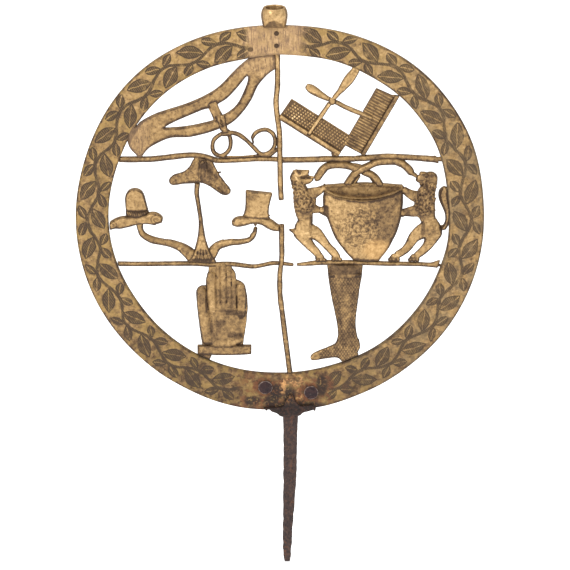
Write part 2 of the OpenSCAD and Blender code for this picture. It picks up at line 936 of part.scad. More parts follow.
tail_line = smooth([
    [114.6, 143.4, 1.1], [116.6, 147.5, 1.1], [117.2, 152, 1.3], [117, 157, 1.9], [115.7, 163, 2.8],
    [114.7, 168, 3.3], [114.9, 171.5, 2.9], [115.8, 174, 1.4]
]);

module right_lion_tail() {
    color("peru") {
        plate() strip(tail_line);
        upright(relief * 0.3, -back_y)
            strip([for (q = tail_line) [q[0] - 0.4, q[1], q[2] * 0.5]]);
    }
}

// Glove and stocking

// The glove's finger gaps: [x, lower end, upper end]
finger_gaps = [[-45.5, 84, 116], [-42.4, 84, 116], [-38.1, 83, 116], [-34.3, 84, 116], [-30.7, 86, 106]];

module glove_hand() {
    color("tan")
        difference() {
            bowed(-41, 19.5, relief * 0.8)
                difference() {
                    polygon(concat(
                        smooth([[-50.4, 119], [-50.6, 110], [-52.3, 106], [-52.6, 100.2], [-56, 99.9], [-59.3, 96.6],
                            [-59.2, 88], [-57.5, 70], [-55.4, 55]]),
                        smooth([[-26.8, 55], [-24.6, 70], [-23.2, 84.4], [-23.9, 94], [-25.8, 101.4], [-29.3, 103.8],
                            [-31.4, 105], [-32.2, 110.5], [-34.4, 114], [-34.4, 119]])
                    ));
                    above_lower_bars();
                }
            upright(far, -relief * 0.35)
                for (gap = finger_gaps)
                    translate([gap[0] - 0.3, gap[1]]) square([0.6, gap[2] - gap[1]]);
            upright(far, -relief * 0.35)
                strip(wire(smooth([[-52.5, 100.5], [-51.4, 89.4], [-49.6, 75], [-47.6, 67]]), 0.35));
            upright(far, -relief * 0.5)
                strip(wire(smooth([[-56, 62.6], [-41, 60.6], [-26.4, 62.6]]), 0.4));
        }
}

module glove_cuff() {
    color("tan")
        difference() {
            bowed(-40, 21, relief * 0.9)
                translate([-59.3, 48]) square([38.9, 7]);
            upright(far, -relief * 0.55)
                translate([-60, 49.5]) square([40, 0.5]);
        }
}

module glove_link() {
    color("tan")
        plate()
            polygon([[-62, 48], [-62, 42], [-56, 38], [-50.4, 40.6], [-50.4, 44], [-48.6, 48]]);
}

module stocking_outline() {
    polygon(concat(
        smooth([[33.4, 121], [34.4, 109], [36.6, 94], [40, 77], [41.8, 65], [40.6, 57], [36.4, 53.7],
            [27.9, 50.1], [22.6, 46.8], [23.4, 43.6], [32.9, 45], [41, 45.6], [45, 42], [46, 36]]),
        smooth([[64, 42], [58, 46.6], [55.2, 49.2], [56.6, 54.4], [54.4, 65], [53.9, 76], [55.8, 94],
            [58, 109], [58.7, 121]])
    ));
}

module stocking() {
    color("sienna") {
        plate()
            difference() {
                stocking_outline();
                above_lower_bars();
            }
        limbs([
            [[46.1, 104, 11.2], [46.6, 90, 9.2], [47.6, 76, 6.4], [47.8, 66, 5.9], [48.6, 56.6, 6.8], [48.6, 52, 5.6]],
            [[48.6, 53, 5.6], [36.4, 49.6, 3.6], [26.6, 47, 2.2]]
        ], 0.36);
        upright(relief * 0.55, -back_y)
            translate([34.6, 108.8]) square([23.2, 1]);
    }
}

// Iron tang

// The forged bar's two sides, seen from the front and from the side: [offset from the middle, z]
module tang_bar() {
    w = tang_w / 2;
    d = tang_d / 2;
    intersection() {
        translate([0, far / 2, 0])
            rotate([90, 0, 0])
                linear_extrude(far)
                    polygon([
                        [-w, 1], [-w + 0.6, -0.09 * tang_l], [-w + 0.4, -0.5 * tang_l], [-w, -0.9 * tang_l],
                        [-w + 1.4, -tang_l], [-w + 4.6, -tang_l], [w - 4.6, -0.9 * tang_l],
                        [w - 3.3, -0.7 * tang_l], [w - 1, -0.38 * tang_l], [w - 0.6, -0.15 * tang_l], [w, 1]
                    ]);
        translate([-far / 2, 0, 0])
            rotate([90, 0, 90])
                linear_extrude(far)
                    polygon([
                        [-d, 1], [-d + 0.4, -0.3 * tang_l], [-d + 1.2, -0.8 * tang_l], [-1, -tang_l],
                        [1, -tang_l], [d - 1.2, -0.8 * tang_l], [d - 0.4, -0.3 * tang_l], [d, 1]
                    ]);
    }
}

// The cradle that follows the ring's lower edge
module cradle_outline() {
    polygon(concat(
        smooth([[-11.5, 7], [-10.4, 4.8], [-7.4, 2.6], [-3, 0.7], [-1, 0]]),
        smooth([[15.6, 0], [18.2, 2], [24.2, 3.6], [25.8, 5.2], [24, 9]])
    ));
}

module front_tongue_outline() {
    polygon(smooth([[-3, 4], [1.6, 7.4], [4.4, 12], [7.6, 17.4], [11.4, 12], [16, 8], [22, 4.4]]));
}

// The rear leaf: a web between two round eyes for the rivets
module rear_leaf_outline() {
    eye_r = 6.4;
    for (at = tang_rivet_at)
        translate(at) circle(eye_r, $fn = 48);
    polygon([
        tang_rivet_at[0] + [-5.4, -3.4], tang_rivet_at[0] + [2, 6.1], [7, 19.6], tang_rivet_at[1] + [-1.4, 6.2],
        tang_rivet_at[1] + [6.1, -2], [24, 5], [-9.4, 4]
    ]);
}

module iron_tang() {
    color("dimgray")
        difference() {
            union() {
                tang_bar();
                upright(2 * (ring_back + leaf_t), ring_back + leaf_t) cradle_outline();
                upright(leaf_t, -ring_back) front_tongue_outline();
                upright(leaf_t, ring_back + leaf_t) rear_leaf_outline();
                translate([-8.5, -tang_d / 2 - 1, 0]) cube([16.6, tang_d + 2, 3.6]);
            }
            ring_disc();
            rivet_holes(tang_rivet_at, rivet_r);
        }
}

module tang_rivets() {
    color("rosybrown")
        for (at = tang_rivet_at)
            rivet(at, rivet_r, 5.2, 1.7, -ring_back, ring_back + leaf_t + 1, 3.6);
}

module rivet_washers() {
    color("gray")
        for (at = tang_rivet_at)
            difference() {
                translate([ring_x + at[0], ring_back + leaf_t + 1, at[1]])
                    rotate([90, 0, 0])
                        cylinder(r = 5.4, h = 1, $fn = 48);
                rivet_holes(tang_rivet_at, rivet_r);
            }
}

ring_band();
top_socket();
socket_rivets();
upright_upper();
upright_lower();
upper_bar_left_outer();
upper_bar_left_inner();
upper_bar_right_inner();
upper_bar_right_outer();
lower_bar_left();
lower_bar_right();
collar_frame();
collar_strut();
cord_scroll();
left_card_board();
left_card_teeth();
right_card_board();
right_card_teeth();
left_card_handle();
right_card_handle();
handle_boss();
stand_stem();
stand_arm_left();
stand_arm_right();
bicorne_hat();
round_hat_crown();
round_hat_band();
round_hat_brim();
top_hat_crown();
top_hat_brim();
kettle_body();
kettle_mouth();
left_roll();
right_roll();
left_lion();
right_lion();
right_lion_tail();
glove_hand();
glove_cuff();
glove_link();
stocking();
iron_tang();
tang_rivets();
rivet_washers();
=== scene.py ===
"""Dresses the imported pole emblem: cast and worn brass pieces in a flat engraved ring, on a forged iron tang.

Lengths in the script are millimetres, counted as in the part's own source: x from the ring's middle line,
z up from the top of the pole, y behind the middle of the ring's thickness. spot() turns them into metres.
"""

import math

import bmesh
import bpy
import numpy as np
from mathutils import Matrix, Vector, noise


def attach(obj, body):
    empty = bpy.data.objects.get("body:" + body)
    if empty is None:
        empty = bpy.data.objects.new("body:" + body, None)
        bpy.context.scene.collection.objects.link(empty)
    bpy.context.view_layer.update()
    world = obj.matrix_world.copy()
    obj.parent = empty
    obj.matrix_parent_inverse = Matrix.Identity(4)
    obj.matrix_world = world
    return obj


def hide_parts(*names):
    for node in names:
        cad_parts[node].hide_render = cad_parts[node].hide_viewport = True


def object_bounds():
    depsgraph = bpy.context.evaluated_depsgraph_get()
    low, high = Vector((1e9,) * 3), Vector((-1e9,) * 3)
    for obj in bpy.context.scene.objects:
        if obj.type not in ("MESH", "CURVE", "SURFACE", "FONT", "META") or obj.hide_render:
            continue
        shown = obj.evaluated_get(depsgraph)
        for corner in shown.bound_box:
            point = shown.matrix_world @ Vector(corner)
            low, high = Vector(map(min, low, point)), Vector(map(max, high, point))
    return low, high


bl_info = {
    "name": "Pole Emblem",
    "version": (1, 0, 0),
    "blender": (4, 5, 0),
    "location": "View3D > Sidebar > Emblem",
    "description": "Builds the worn brass pole emblem around its frame",
    "category": "Object",
}

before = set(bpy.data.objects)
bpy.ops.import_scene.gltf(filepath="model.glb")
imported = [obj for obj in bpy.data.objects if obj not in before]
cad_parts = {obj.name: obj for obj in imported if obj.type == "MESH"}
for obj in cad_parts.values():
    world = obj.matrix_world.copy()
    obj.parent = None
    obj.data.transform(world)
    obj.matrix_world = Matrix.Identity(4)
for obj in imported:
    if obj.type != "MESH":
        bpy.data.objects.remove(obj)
FRAME_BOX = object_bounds()

MM = 0.001
RING_X = -7.5
BACK_Y = 1.5

# The ring and its hole have middles of their own, and so has the turn round which it bulges
RING_MIDDLE = (0.0, 148.8)
HOLE_MIDDLE = (-1.0, 152.0)
BULGE_MIDDLE = (-0.5, 150.4)
# Each bulge's turn from the top and half its span in degrees, and how far the edge and the hole move out there
BULGES = (
    (46, 38, 3.5, 3.6), (-42, 34, 2.6, 1.4), (120, 56, 0.1, 1.7), (70, 19, 1.1, 1.2), (18, 16, 0, 1.1),
    (-12, 12, 0, -0.9), (-95, 30, 0, 0.9), (-158, 22, 0.7, 0.6), (61, 13, 0, 0.6), (98, 13, 0, 0.8),
    (144, 20, -0.3, 0.6), (168, 12, 0.6, 0), (-138, 20, 0, 0.4), (-152, 10, -0.4, 0), (-170, 12, 0.6, 0),
)
RING_SEGMENTS = 320

TANG_RIVETS = ((-10.5, 22.8), (22.5, 18.8))

# The lower left corner of each card, and of the left handle's blade, and its turn in degrees
LEFT_CARD = ((0.4, 225.0), -33.3)
RIGHT_CARD = ((59.2, 197.4), 61.3)
HANDLE_BLADE = ((37.1, 241.7), 55.2)
CARD_COLUMNS = 22
TOOTH_ROWS = 6

# A surface is a rim where its normal leans less than TURNED to the front or back. UNDER adds to that what faces
# down and takes from it what faces up. The distance to it is followed for RIM_REACH, over RIM_ROUNDS edges.
# The rim is darkened, partly as patina and partly as painted shade, and painted shade lies near surfaces whose
# normal points down past FACING_DOWN.
TURNED = 0.5
UNDER = 0.35
FACING_DOWN = -0.6
RIM_REACH = 3.0
RIM_ROUNDS = 8

# The floor lies just below the tang's tip, and the camera stands where the photograph was taken from
FLOOR_Z = -0.1176
FLOOR_HALF = 14.0
CAMERA_PLACE = (-0.00391, -1.8735, 0.80684)
CAMERA_TILT = 69.35
CAMERA_LENS = 177.7
LIGHT_TARGET = (0, 0, 0.12)

# Each leaf's middle along the vine and out from it, its tilt in degrees, half its length and half its width
VINE_LEAVES = (
    ((0.8, -4.4), 28, 8.8, 4.5),
    ((-6.0, 6.8), -26, 5.4, 2.9),
    ((5.6, 7.2), 30, 5.0, 2.7),
)


def linear(red, green, blue):
    """A colour of 0 to 255 a channel, as Blender's own linear values."""
    return tuple(
        c / 12.92 if c <= 0.04045 else ((c + 0.055) / 1.055) ** 2.4 for c in (red / 255, green / 255, blue / 255)
    )


def spot(x, z, y=0.0):
    """The point in metres at x, z in the ring's plane and y behind it."""
    return Vector((x + RING_X, y, z)) * MM


# Settings


def length_setting(name, description, metres):
    return bpy.props.FloatProperty(name=name, description=description, default=metres, unit="LENGTH")


def colour_setting(name, description, colour):
    return bpy.props.FloatVectorProperty(name=name, description=description, default=colour, subtype="COLOR")


class EmblemSizes(bpy.types.PropertyGroup):
    """Sizes that the ring, the casting and the wear are made from"""

    ring_radius: length_setting("Ring Radius", "Outer radius of the ring", 0.144)
    hole_radius: length_setting("Hole Radius", "Radius of the ring's opening", 0.119)
    ring_thickness: length_setting("Ring Thickness", "Thickness of the flat ring", 0.0036)
    ornament_height: length_setting("Ornament Height", "How far the vine swings to each side", 0.0034)
    ornament_count: bpy.props.IntProperty(
        name="Ornament Swings", description="Number of the vine's swings round the ring", default=40, min=8, max=96
    )
    casting_grain: length_setting("Casting Grain", "Fineness to which the cast pieces are worked", 0.00042)


class EmblemColours(bpy.types.PropertyGroup):
    """Colours of the brass, from its darkest hollows to its rubbed edges, and of the iron and stage"""

    # Hollows and Brown are the ramp's dark end: dirt in the hollows, and also the painted shade along rims and under
    # what faces down.
    hollow: colour_setting("Hollows", "Dirt in the deepest hollows", linear(64, 44, 24))
    brown: colour_setting("Brown Brass", "Brown patina", linear(104, 79, 50))
    ochre: colour_setting("Ochre Brass", "The brass's middle tone", linear(152, 121, 77))
    tan: colour_setting("Tan Brass", "Handled brass", linear(192, 158, 109))
    pale: colour_setting("Pale Brass", "Rubbed brass", linear(236, 203, 152))
    scoured: colour_setting("Scoured Brass", "Pinkish scoured brass", linear(196, 160, 126))
    engraving: colour_setting("Engraving", "Colour in the cut lines", linear(60, 45, 31))
    iron: colour_setting("Iron", "Rusted wrought iron", linear(64, 49, 44))
    rust: colour_setting("Rust", "Fresh rust", linear(106, 60, 32))
    floor: colour_setting("Floor", "The stage's floor", (0.9, 0.9, 0.9))


class EmblemSettings(bpy.types.PropertyGroup):
    """Everything that the emblem's panel shows"""

    sizes: bpy.props.PointerProperty(type=EmblemSizes)
    colours: bpy.props.PointerProperty(type=EmblemColours)


def sizes():
    return bpy.context.scene.emblem.sizes


def colours():
    return bpy.context.scene.emblem.colours


# Shader maths


class Value:
    """A value on its way through a finish's nodes, so that shader maths reads as an expression."""

    def __init__(self, finish, socket):
        self.finish = finish
        self.socket = socket

    def __add__(self, other):
        return self.finish.maths("ADD", self, other)

    def __radd__(self, other):
        return self.finish.maths("ADD", other, self)

    def __sub__(self, other):
        return self.finish.maths("SUBTRACT", self, other)

    def __rsub__(self, other):
        return self.finish.maths("SUBTRACT", other, self)

    def __mul__(self, other):
        return self.finish.maths("MULTIPLY", self, other)

    def __rmul__(self, other):
        return self.finish.maths("MULTIPLY", other, self)

    def __truediv__(self, other):
        return self.finish.maths("DIVIDE", self, other)

    def __abs__(self):
        return self.finish.maths("ABSOLUTE", self)


class Finish:
    """A material and the nodes that colour it. Its x, y and z are in the script's millimetres."""

    def __init__(self, name):
        self.material = bpy.data.materials.new(name)
        self.material.use_nodes = True
        self.tree = self.material.node_tree
        self.shader = self.tree.nodes["Principled BSDF"]
        metres = self.node("ShaderNodeTexCoord", output="Object")
        scaled = self.node("ShaderNodeVectorMath", {"operation": "SCALE"}, {0: metres, "Scale": 1 / MM})
        self.place = self.node("ShaderNodeVectorMath", {"operation": "SUBTRACT"}, {0: scaled, 1: (RING_X, 0, 0)})
        self.x, self.y, self.z = (self.part(self.place, axis) for axis in range(3))
        normal = self.node("ShaderNodeTexCoord", output="Normal")
        self.front, self.upward = 0 - self.part(normal, 1), self.part(normal, 2)

    def node(self, kind, settings=None, values=None, output=0):
        """Adds a node of a kind: its settings come first, then the values or links of its sockets."""
        node = self.tree.nodes.new(kind)
        for name, value in (settings or {}).items():
            if name == "stops":
                elements = node.color_ramp.elements
                for element, (position, colour) in zip(elements, (value[0], value[-1])):
                    element.position, element.color = position, (*colour, 1)
                for position, colour in value[1:-1]:
                    elements.new(position).color = (*colour, 1)
            else:
                setattr(node, name, value)
        for name, value in (values or {}).items():
            if isinstance(value, Value):
                self.tree.links.new(value.socket, node.inputs[name])
            else:
                node.inputs[name].default_value = value
        return Value(self, node.outputs[output])

    def part(self, vector, axis):
        return self.node("ShaderNodeSeparateXYZ", values={0: vector}, output=axis)

    def maths(self, operation, *values):
        return self.node("ShaderNodeMath", {"operation": operation}, dict(enumerate(values)))

    def wear(self, name):
        """The attribute of this name that mark_wear_and_shade writes into the mesh."""
        return self.node("ShaderNodeAttribute", {"attribute_name": name}, output="Fac")

    def least(self, *values):
        return self.maths("MINIMUM", *values)

    def most(self, *values):
        return self.maths("MAXIMUM", *values)

    def step(self, value, low, high):
        """0 below low, 1 above high, and smooth between."""
        values = {"Value": value, "From Min": low, "From Max": high}
        return self.node("ShaderNodeMapRange", {"interpolation_type": "SMOOTHSTEP"}, values)

    def fade(self, value, low, high):
        """1 below low, 0 above high, and smooth between."""
        return 1 - self.step(value, low, high)

    def zigzag(self, value):
        """1 where value is a whole number, 0 halfway to the next, and straight between."""
        return abs(self.maths("FRACT", value) - 0.5) * 2

    def clouds(self, size, detail=3.0, stretch=(1, 1, 1), shift=0.0):
        """Noise from 0 to 1 whose patches are about size across."""
        scale = tuple(s / size for s in stretch)
        mapped = {"Vector": self.place, "Location": (shift, shift, shift), "Scale": scale}
        place = self.node("ShaderNodeMapping", values=mapped)
        noisy = {"Vector": place, "Scale": 1.0, "Detail": detail, "Roughness": 0.6}
        return self.node("ShaderNodeTexNoise", values=noisy)

    def drift(self, width, size, detail=3.0, shift=0.0):
        """Clouds about 0, over width in all."""
        return (self.clouds(size, detail, shift=shift) - 0.5) * width

    def oval(self, x, z, width, height, soft=0.4):
        """1 inside a soft-edged oval round x, z that reaches width and height from there, and 0 outside it."""
        across, up = (self.x - x) / width, (self.z - z) / height
        ragged = self.drift(1.2, 4, 3, x)
        return self.fade(across * across + up * up + ragged, 1 - soft, 1 + soft)

    def length(self, x=0.0, y=0.0, z=0.0):
        """The length of the way along x, y and z."""
        whole = self.node("ShaderNodeCombineXYZ", values={0: x, 1: y, 2: z})
        return self.node("ShaderNodeVectorMath", {"operation": "LENGTH"}, {0: whole}, output="Value")

    def reach(self, x, z):
        """The distance from x, z in the ring's plane."""
        return self.length(self.x - x, z=self.z - z)

    def blend(self, factor, a, b):
        """The colour a where factor is 0 and b where it is 1."""
        values = {
            name: value if isinstance(value, Value) or name == 0 else (*value, 1)
            for name, value in ((0, factor), (6, a), (7, b))
        }
        return self.node("ShaderNodeMix", {"data_type": "RGBA", "clamp_factor": True}, values, output=2)

    def brass(self, level):
        """The brass's colour from its dirt at 0 to its rubbed edges at 1."""
        c = colours()
        stops = [(0.0, c.hollow), (0.25, c.brown), (0.5, c.ochre), (0.75, c.tan), (1.0, c.pale)]
        return self.node("ShaderNodeValToRGB", {"stops": stops}, {0: level})

    def finish(self, colour, roughness, metallic, height=None, depth=0.2):
        """Sends the colour, roughness and metallic to the shader, and a height of depth millimetres to its normal."""
        links = {"Base Color": colour, "Roughness": roughness, "Metallic": metallic}
        if height is not None:
            bump = {"Strength": 1.0, "Distance": depth * MM, "Height": height}
            links["Normal"] = self.node("ShaderNodeBump", values=bump)
        for name, value in links.items():
            if isinstance(value, Value):
                self.tree.links.new(value.socket, self.shader.inputs[name])
            else:
                self.shader.inputs[name].default_value = value
        return self.material


# Finishes


def wear_and_shade_level(f, tone, mottle=0.5, edges=0.5, width=1.0, dirt=1.6):
    """The level of worn brass: stains, spots and flecks round its tone, and dirt in its hollows.

    Its rim is dark, partly patina and partly painted shade, eased on top, with painted shade under what faces down.
    """
    ridge, rim, below = (f.wear(name) for name in ("ridge", "rim", "below"))
    stains = f.drift(mottle, 10, 3)
    spots = f.drift(mottle * 1.5, 2.8, 3, 7.0)
    flecks = f.step(f.clouds(1.9, 2, shift=19.0), 0.54, 0.68) * (mottle * 0.36)
    # Painted shade: the rim's darkening is partly patina and partly shade. It is eased where the surface faces up, and
    # shade is painted under what faces down.
    dark = f.fade(rim + f.drift(1.6 * width, 3, 3, 37.0), 0.6 * width, 1.8 * width)
    dark = dark * (1 - f.step(f.upward, 0.2, 0.8) * 0.6)
    dark = f.most(dark, 0.85 - f.step(below + f.drift(1.2, 3, 3, 39.0), 0.6, 2.0) * 0.85)
    hollow, raised = f.least(ridge - 0.5, 0.0), f.most(ridge - 0.5, 0.0)
    return tone + stains + spots - flecks + hollow * dirt + raised * (1 - dark) * 0.8 - dark * edges


def brass_surface(f, level, extra_height=None, colour=None, depth=0.16):
    """Colour, gloss and grain of aged brass from its level."""
    grain = f.clouds(0.9, 3, shift=3.0)
    pits = f.fade(f.clouds(1.7, 2, shift=11.0), 0.3, 0.42)
    height = grain * 0.5 - pits * 0.6
    if extra_height is not None:
        height = height + extra_height
    level = level - pits * 0.14
    shine = f.step(level, 0.1, 1.0)
    return f.finish(
        colour(level) if colour else f.brass(level), 0.62 - shine * 0.2, 0.35 + shine * 0.35, height, depth
    )


def cast_brass(name, tone, mottle=0.5, edges=0.5, width=1.0):
    """Plain worn cast brass."""
    f = Finish(name)
    return brass_surface(f, wear_and_shade_level(f, tone, mottle, edges, width))


def hatched_brass(name, tone, pitch, slant, strength=0.34, edges=0.5):
    """Cast brass under engraved strokes that lean by slant."""
    f = Finish(name)
    wander = f.drift(1.1, 3, 2, 5.0)
    stroke = f.zigzag((f.x + f.z * slant + wander) / pitch)
    cut = f.fade(stroke, 0.2, 0.6) * f.step(f.front, 0.2, 0.5)
    return brass_surface(f, wear_and_shade_level(f, tone, 0.6, edges) - cut * strength, cut * -1.2)


def netted_brass(name, tone):
    """Knitted brass: a net of crossing lines over the leg and foot, rubbed pale down the calf and at the toe."""
    f = Finish(name)
    wander = f.drift(1.4, 4, 2, 2.0)
    mesh = f.least(*(f.zigzag((f.x * side + f.z * 0.62 + wander) / 2.1) for side in (1, -1)))
    below_band = f.fade(f.z, 107.8, 109.0)
    bare_toe = f.step(f.x, 26.0, 31.0)
    worn_net = 0.4 + f.step(f.clouds(7, 3, shift=41.0), 0.35, 0.6) * 0.4 + f.fade(f.z, 52, 62) * 0.3
    cut = f.fade(mesh, 0.12, 0.5) * below_band * bare_toe * f.step(f.front, 0.1, 0.4) * worn_net
    knots = f.step(mesh, 0.45, 0.95) * below_band * bare_toe * worn_net
    rubbed = f.oval(47, 83, 3.4, 15, 0.7) + f.oval(24, 46.4, 5, 3, 0.6) * 0.8 + f.oval(40, 104, 3, 5, 0.6) * 0.5
    foot = f.fade(f.z, 48, 60)
    level = wear_and_shade_level(f, tone, 0.5, 0.4, 0.7) - cut * (0.24 - rubbed * 0.1)
    level = level + knots * 0.1 + rubbed * 0.16 + foot * 0.12
    streak = f.oval(49, 109.2, 7, 1.1, 0.6) * 0.06
    band = f.step(f.z, 109.8, 110.4)
    return brass_surface(f, level - band * 0.12 + streak, cut * -0.8)


def kettle_brass(name):
    """The kettle's brass: pale left, flecked middle, browner down its right, bright base and scratches."""
    f = Finish(name)
    ragged = f.drift(15, 13, 4) * 0.6
    # Browner over the right side, above the base.
    darker_patch = f.step(f.x + ragged + (f.z - 145) * 0.1, 63, 69) * f.step(f.z + ragged, 131, 137)
    flecked = f.oval(56, 146, 16, 17, 0.7) * f.step(f.clouds(1.9, 4, shift=31.0), 0.46, 0.56)
    streaks = f.step(f.clouds(1.5, 2, stretch=(0.22, 1, 1.3), shift=9.0), 0.56, 0.66) * f.oval(50, 132.5, 8, 3.4, 0.5)
    lug = f.fade(f.x, 33.4, 35.2) * f.step(f.z, 150, 152) * f.fade(f.z, 160.5, 162.5)
    level = wear_and_shade_level(f, 0.62, 0.5, 0.6, 1.8) - darker_patch * 0.24 - flecked * 0.3 - streaks * 0.36 - lug * 0.5
    bright = f.oval(68, 129, 9, 8, 0.6)
    gold = linear(196, 148, 84)
    return brass_surface(f, level + bright * 0.08, darker_patch * 0.2, lambda v: f.blend(bright * 0.3, f.brass(v), gold))


def curled_brass(name, tone, curls):
    """Cast brass with dark engraved lines that wind into each of its curls at x, z, radius."""
    f = Finish(name)
    level = wear_and_shade_level(f, tone, 0.5, 0.5)
    for x, z, radius in curls:
        across, up = f.x - x, f.z - z
        far = f.maths("SQRT", across * across + up * up * 1.6)
        wound = f.zigzag(far / 2.1 - f.maths("ARCTAN2", up, across) / math.tau)
        line = f.fade(wound, 0.1, 0.5) * f.fade(far, radius - 0.6, radius)
        level = level - line * f.step(f.front, 0.2, 0.5) * 0.3
    return brass_surface(f, level)


def card_brass(name, tone, top, low, base):
    """Card teeth: bright tops over a dark cloth of the level base, told apart by height as painted shade, browner to
    the right.
    """
    f = Finish(name)
    # Painted shade: the lower the surface stands between the teeth, the darker it is.
    risen = f.step(0 - f.y, low, top) * (1 - f.step(f.x, 14, 30) * 0.3)
    darker_patch = f.oval(51, 207, 5, 4, 0.5) * 0.16
    level = wear_and_shade_level(f, tone - base, 0.8, 0.1) * risen + (base + f.drift(0.3, 5, 3, 43.0)) - darker_patch
    return brass_surface(f, level)


def lion_brass(name, tone, manes, eyes, patina_and_shade_spots):
    """A lion's brass: brown in its mane's curls, nearly black at its eyes, brown at its paws, painted shade in its
    mouth, ear and flank creases, rubbed elsewhere.
    """
    f = Finish(name)
    curly = f.most(*(f.oval(*mane, 0.3) for mane in manes))
    level = wear_and_shade_level(f, tone, 0.5, 0.55 - curly * 0.4, 1.0, 1.0)
    level = level - curly * (tone - 0.42 - f.least(f.wear("ridge") - 0.5, 0.0) * 0.8)
    for eye in eyes:
        level = level - f.oval(*eye, 0.3) * 0.5
    # Each spot darkens the brass: brown patina at paws, feet, tail and head, and painted shade in the mouth, ear and
    # flank creases.
    for dark in patina_and_shade_spots:
        level = level - f.oval(*dark) * 0.24
    return brass_surface(f, level)


def glove_brass(name):
    """The glove's brass: painted shade in thin lines between the fingers, smudged at the knuckles and rubbed bright on
    two of them.
    """
    f = Finish(name)
    level = wear_and_shade_level(f, 0.4, 0.5, 0.5, 0.5, 1.8)
    # The two narrow upright ovals are painted shade between the fingers; the other dark ones are smudges, and the light
    # ones are rubbed bright.
    for x, z, width, height, change in (
        (-31, 80.6, 9, 1.9, -0.26), (-39, 82.4, 7, 1.2, -0.16), (-37, 92, 6.5, 9, -0.12), (-52.4, 90, 0.9, 9, -0.3),
        (-42.6, 72.6, 3.6, 3, -0.16), (-48.8, 70, 1.0, 6, -0.2), (-35, 63.6, 2.4, 2, -0.24),
        (-29.6, 62.6, 3.4, 2.4, -0.24), (-55.8, 91, 2.0, 4, -0.1), (-48, 84.4, 3.6, 4.2, 0.16),
        (-48.4, 96, 2.2, 10, 0.1), (-41.4, 108, 1.6, 7, 0.1), (-54, 74, 3, 10, 0.08), (-40, 58, 12, 2.4, 0.08),
    ):
        level = level + f.oval(x, z, width, height, 0.6) * change
    return brass_surface(f, level)


def ring_edges(f, turn):
    """The distances from the ring's hole and from its outer edge, with its bulges, for a turn round it."""
    s = sizes()
    from_hole = f.reach(*HOLE_MIDDLE) - s.hole_radius / MM
    from_edge = s.ring_radius / MM - f.reach(*RING_MIDDLE)
    for middle, span, outer, inner in BULGES:
        bulge = f.fade(abs(turn - math.radians(middle)), 0, math.radians(span))
        from_hole, from_edge = from_hole - bulge * inner, from_edge + bulge * outer
    return from_hole, from_edge


def engraved_vine(f, turn, off_middle):
    """1 in the cut lines of a vine that waves about the ring's middle line, worn away under the socket and the iron."""
    s = sizes()
    half_cell = math.pi * (s.ring_radius + s.hole_radius) / 2 / MM / s.ornament_count
    hand = f.drift(2.0, 9, 3, 4.0) + f.drift(0.9, 3, 2, 27.0)
    cells = turn * (s.ornament_count / math.tau) + f.drift(0.14, 16, 2, 8.0) + 0.5
    side = 1 - f.maths("FLOORED_MODULO", f.maths("FLOOR", cells), 2.0) * 2
    along = (f.maths("FRACT", cells) - 0.5) * (half_cell * 2)
    out = (off_middle + hand) * side
    stem = abs(out - f.maths("COSINE", along * (math.pi / 2 / half_cell)) * (s.ornament_height / MM))
    hatch = f.fade(f.zigzag((f.x + f.z * 0.62 + hand) / 1.55), 0.3, 0.75)
    marks = f.fade(stem, 0.9, 1.5) * (0.8 + hatch * 0.2)
    for (leaf_along, leaf_out), tilt, length, width in VINE_LEAVES:
        cosine, sine = math.cos(math.radians(tilt)), math.sin(math.radians(tilt))
        p = (along - leaf_along) * cosine + (out - leaf_out) * sine
        q = abs((out - leaf_out) * cosine - (along - leaf_along) * sine)
        inside = (1 - p * p / length**2) * width - q
        body = f.step(inside, -0.25, 0.25) * (0.68 + hatch * 0.3) * f.step(q, 0.15, 0.5)
        outline = f.fade(abs(inside - 0.25), 0.25, 0.75)
        marks = f.most(marks, f.most(body, outline))
    bare_top = f.step(f.z, 250, 262) * f.step(f.x, -25, -20) * f.fade(f.x, 14, 19)
    bare_foot = f.fade(f.z, 40, 52) * f.step(f.x, -31, -26) * f.fade(f.x, 31, 36)
    rubbed = 0.55 + f.step(f.clouds(7, 3, shift=29.0), 0.3, 0.45) * 0.45
    return marks * rubbed * (1 - bare_top) * (1 - bare_foot) * f.step(f.front, 0.7, 0.9)


def rusted_foot(f, colour):
    """The ring's colour under the rust, halos, soot and bright scrapes round the iron, and where it is rusty."""
    c, soot = colours(), linear(36, 22, 15)
    near = f.step(46 - abs(f.x - 6 + f.drift(26, 6, 4, 19.0)), 0, 22) * f.fade(f.z, 22, 42)
    rusty = near * f.step(f.clouds(4.5, 4, shift=21.0), 0.42, 0.6)
    colour = f.blend(rusty * 0.8, colour, c.rust)
    colour = f.blend(rusty * f.step(f.clouds(2.6, 3, shift=23.0), 0.55, 0.64), colour, c.hollow)
    left_halo, right_halo = (f.oval(*rivet, 8, 7, 0.5) for rivet in TANG_RIVETS)
    halos = left_halo + right_halo + f.oval(-5.6, 8.9, 2.6, 2.2, 0.4)
    halo_colour = f.blend(f.step(f.clouds(2.2, 3, shift=35.0), 0.45, 0.6), c.rust, c.hollow)
    colour = f.blend(halos * 0.75, colour, halo_colour)
    sooty = f.oval(-2, 20, 5, 5, 0.6) + f.oval(30, 24, 4, 9, 0.6)
    sooty = sooty + f.oval(-20, 12, 6, 4, 0.6) + f.oval(-6, 12, 5, 6, 0.6)
    sooty = f.most(sooty, f.oval(12, 7.4, 24, 4.4, 0.6))
    colour = f.blend(sooty * f.step(f.clouds(2.0, 4, shift=49.0), 0.35, 0.48) * 0.92, colour, soot)
    bright = f.oval(9, 28, 9, 4.5, 0.7) + f.oval(2, 22, 2.4, 5, 0.6) + f.oval(14, 16, 3, 5, 0.6)
    bright = bright * f.step(f.clouds(3.0, 4, shift=51.0), 0.45, 0.6)
    colour = f.blend(bright * 0.7, colour, linear(196, 146, 92))
    burnt = f.oval(7, 15, 4.4, 8.5, 0.6) * f.step(f.clouds(1.5, 4, shift=53.0), 0.34, 0.5)
    return f.blend(burnt * 0.92, colour, soot), rusty


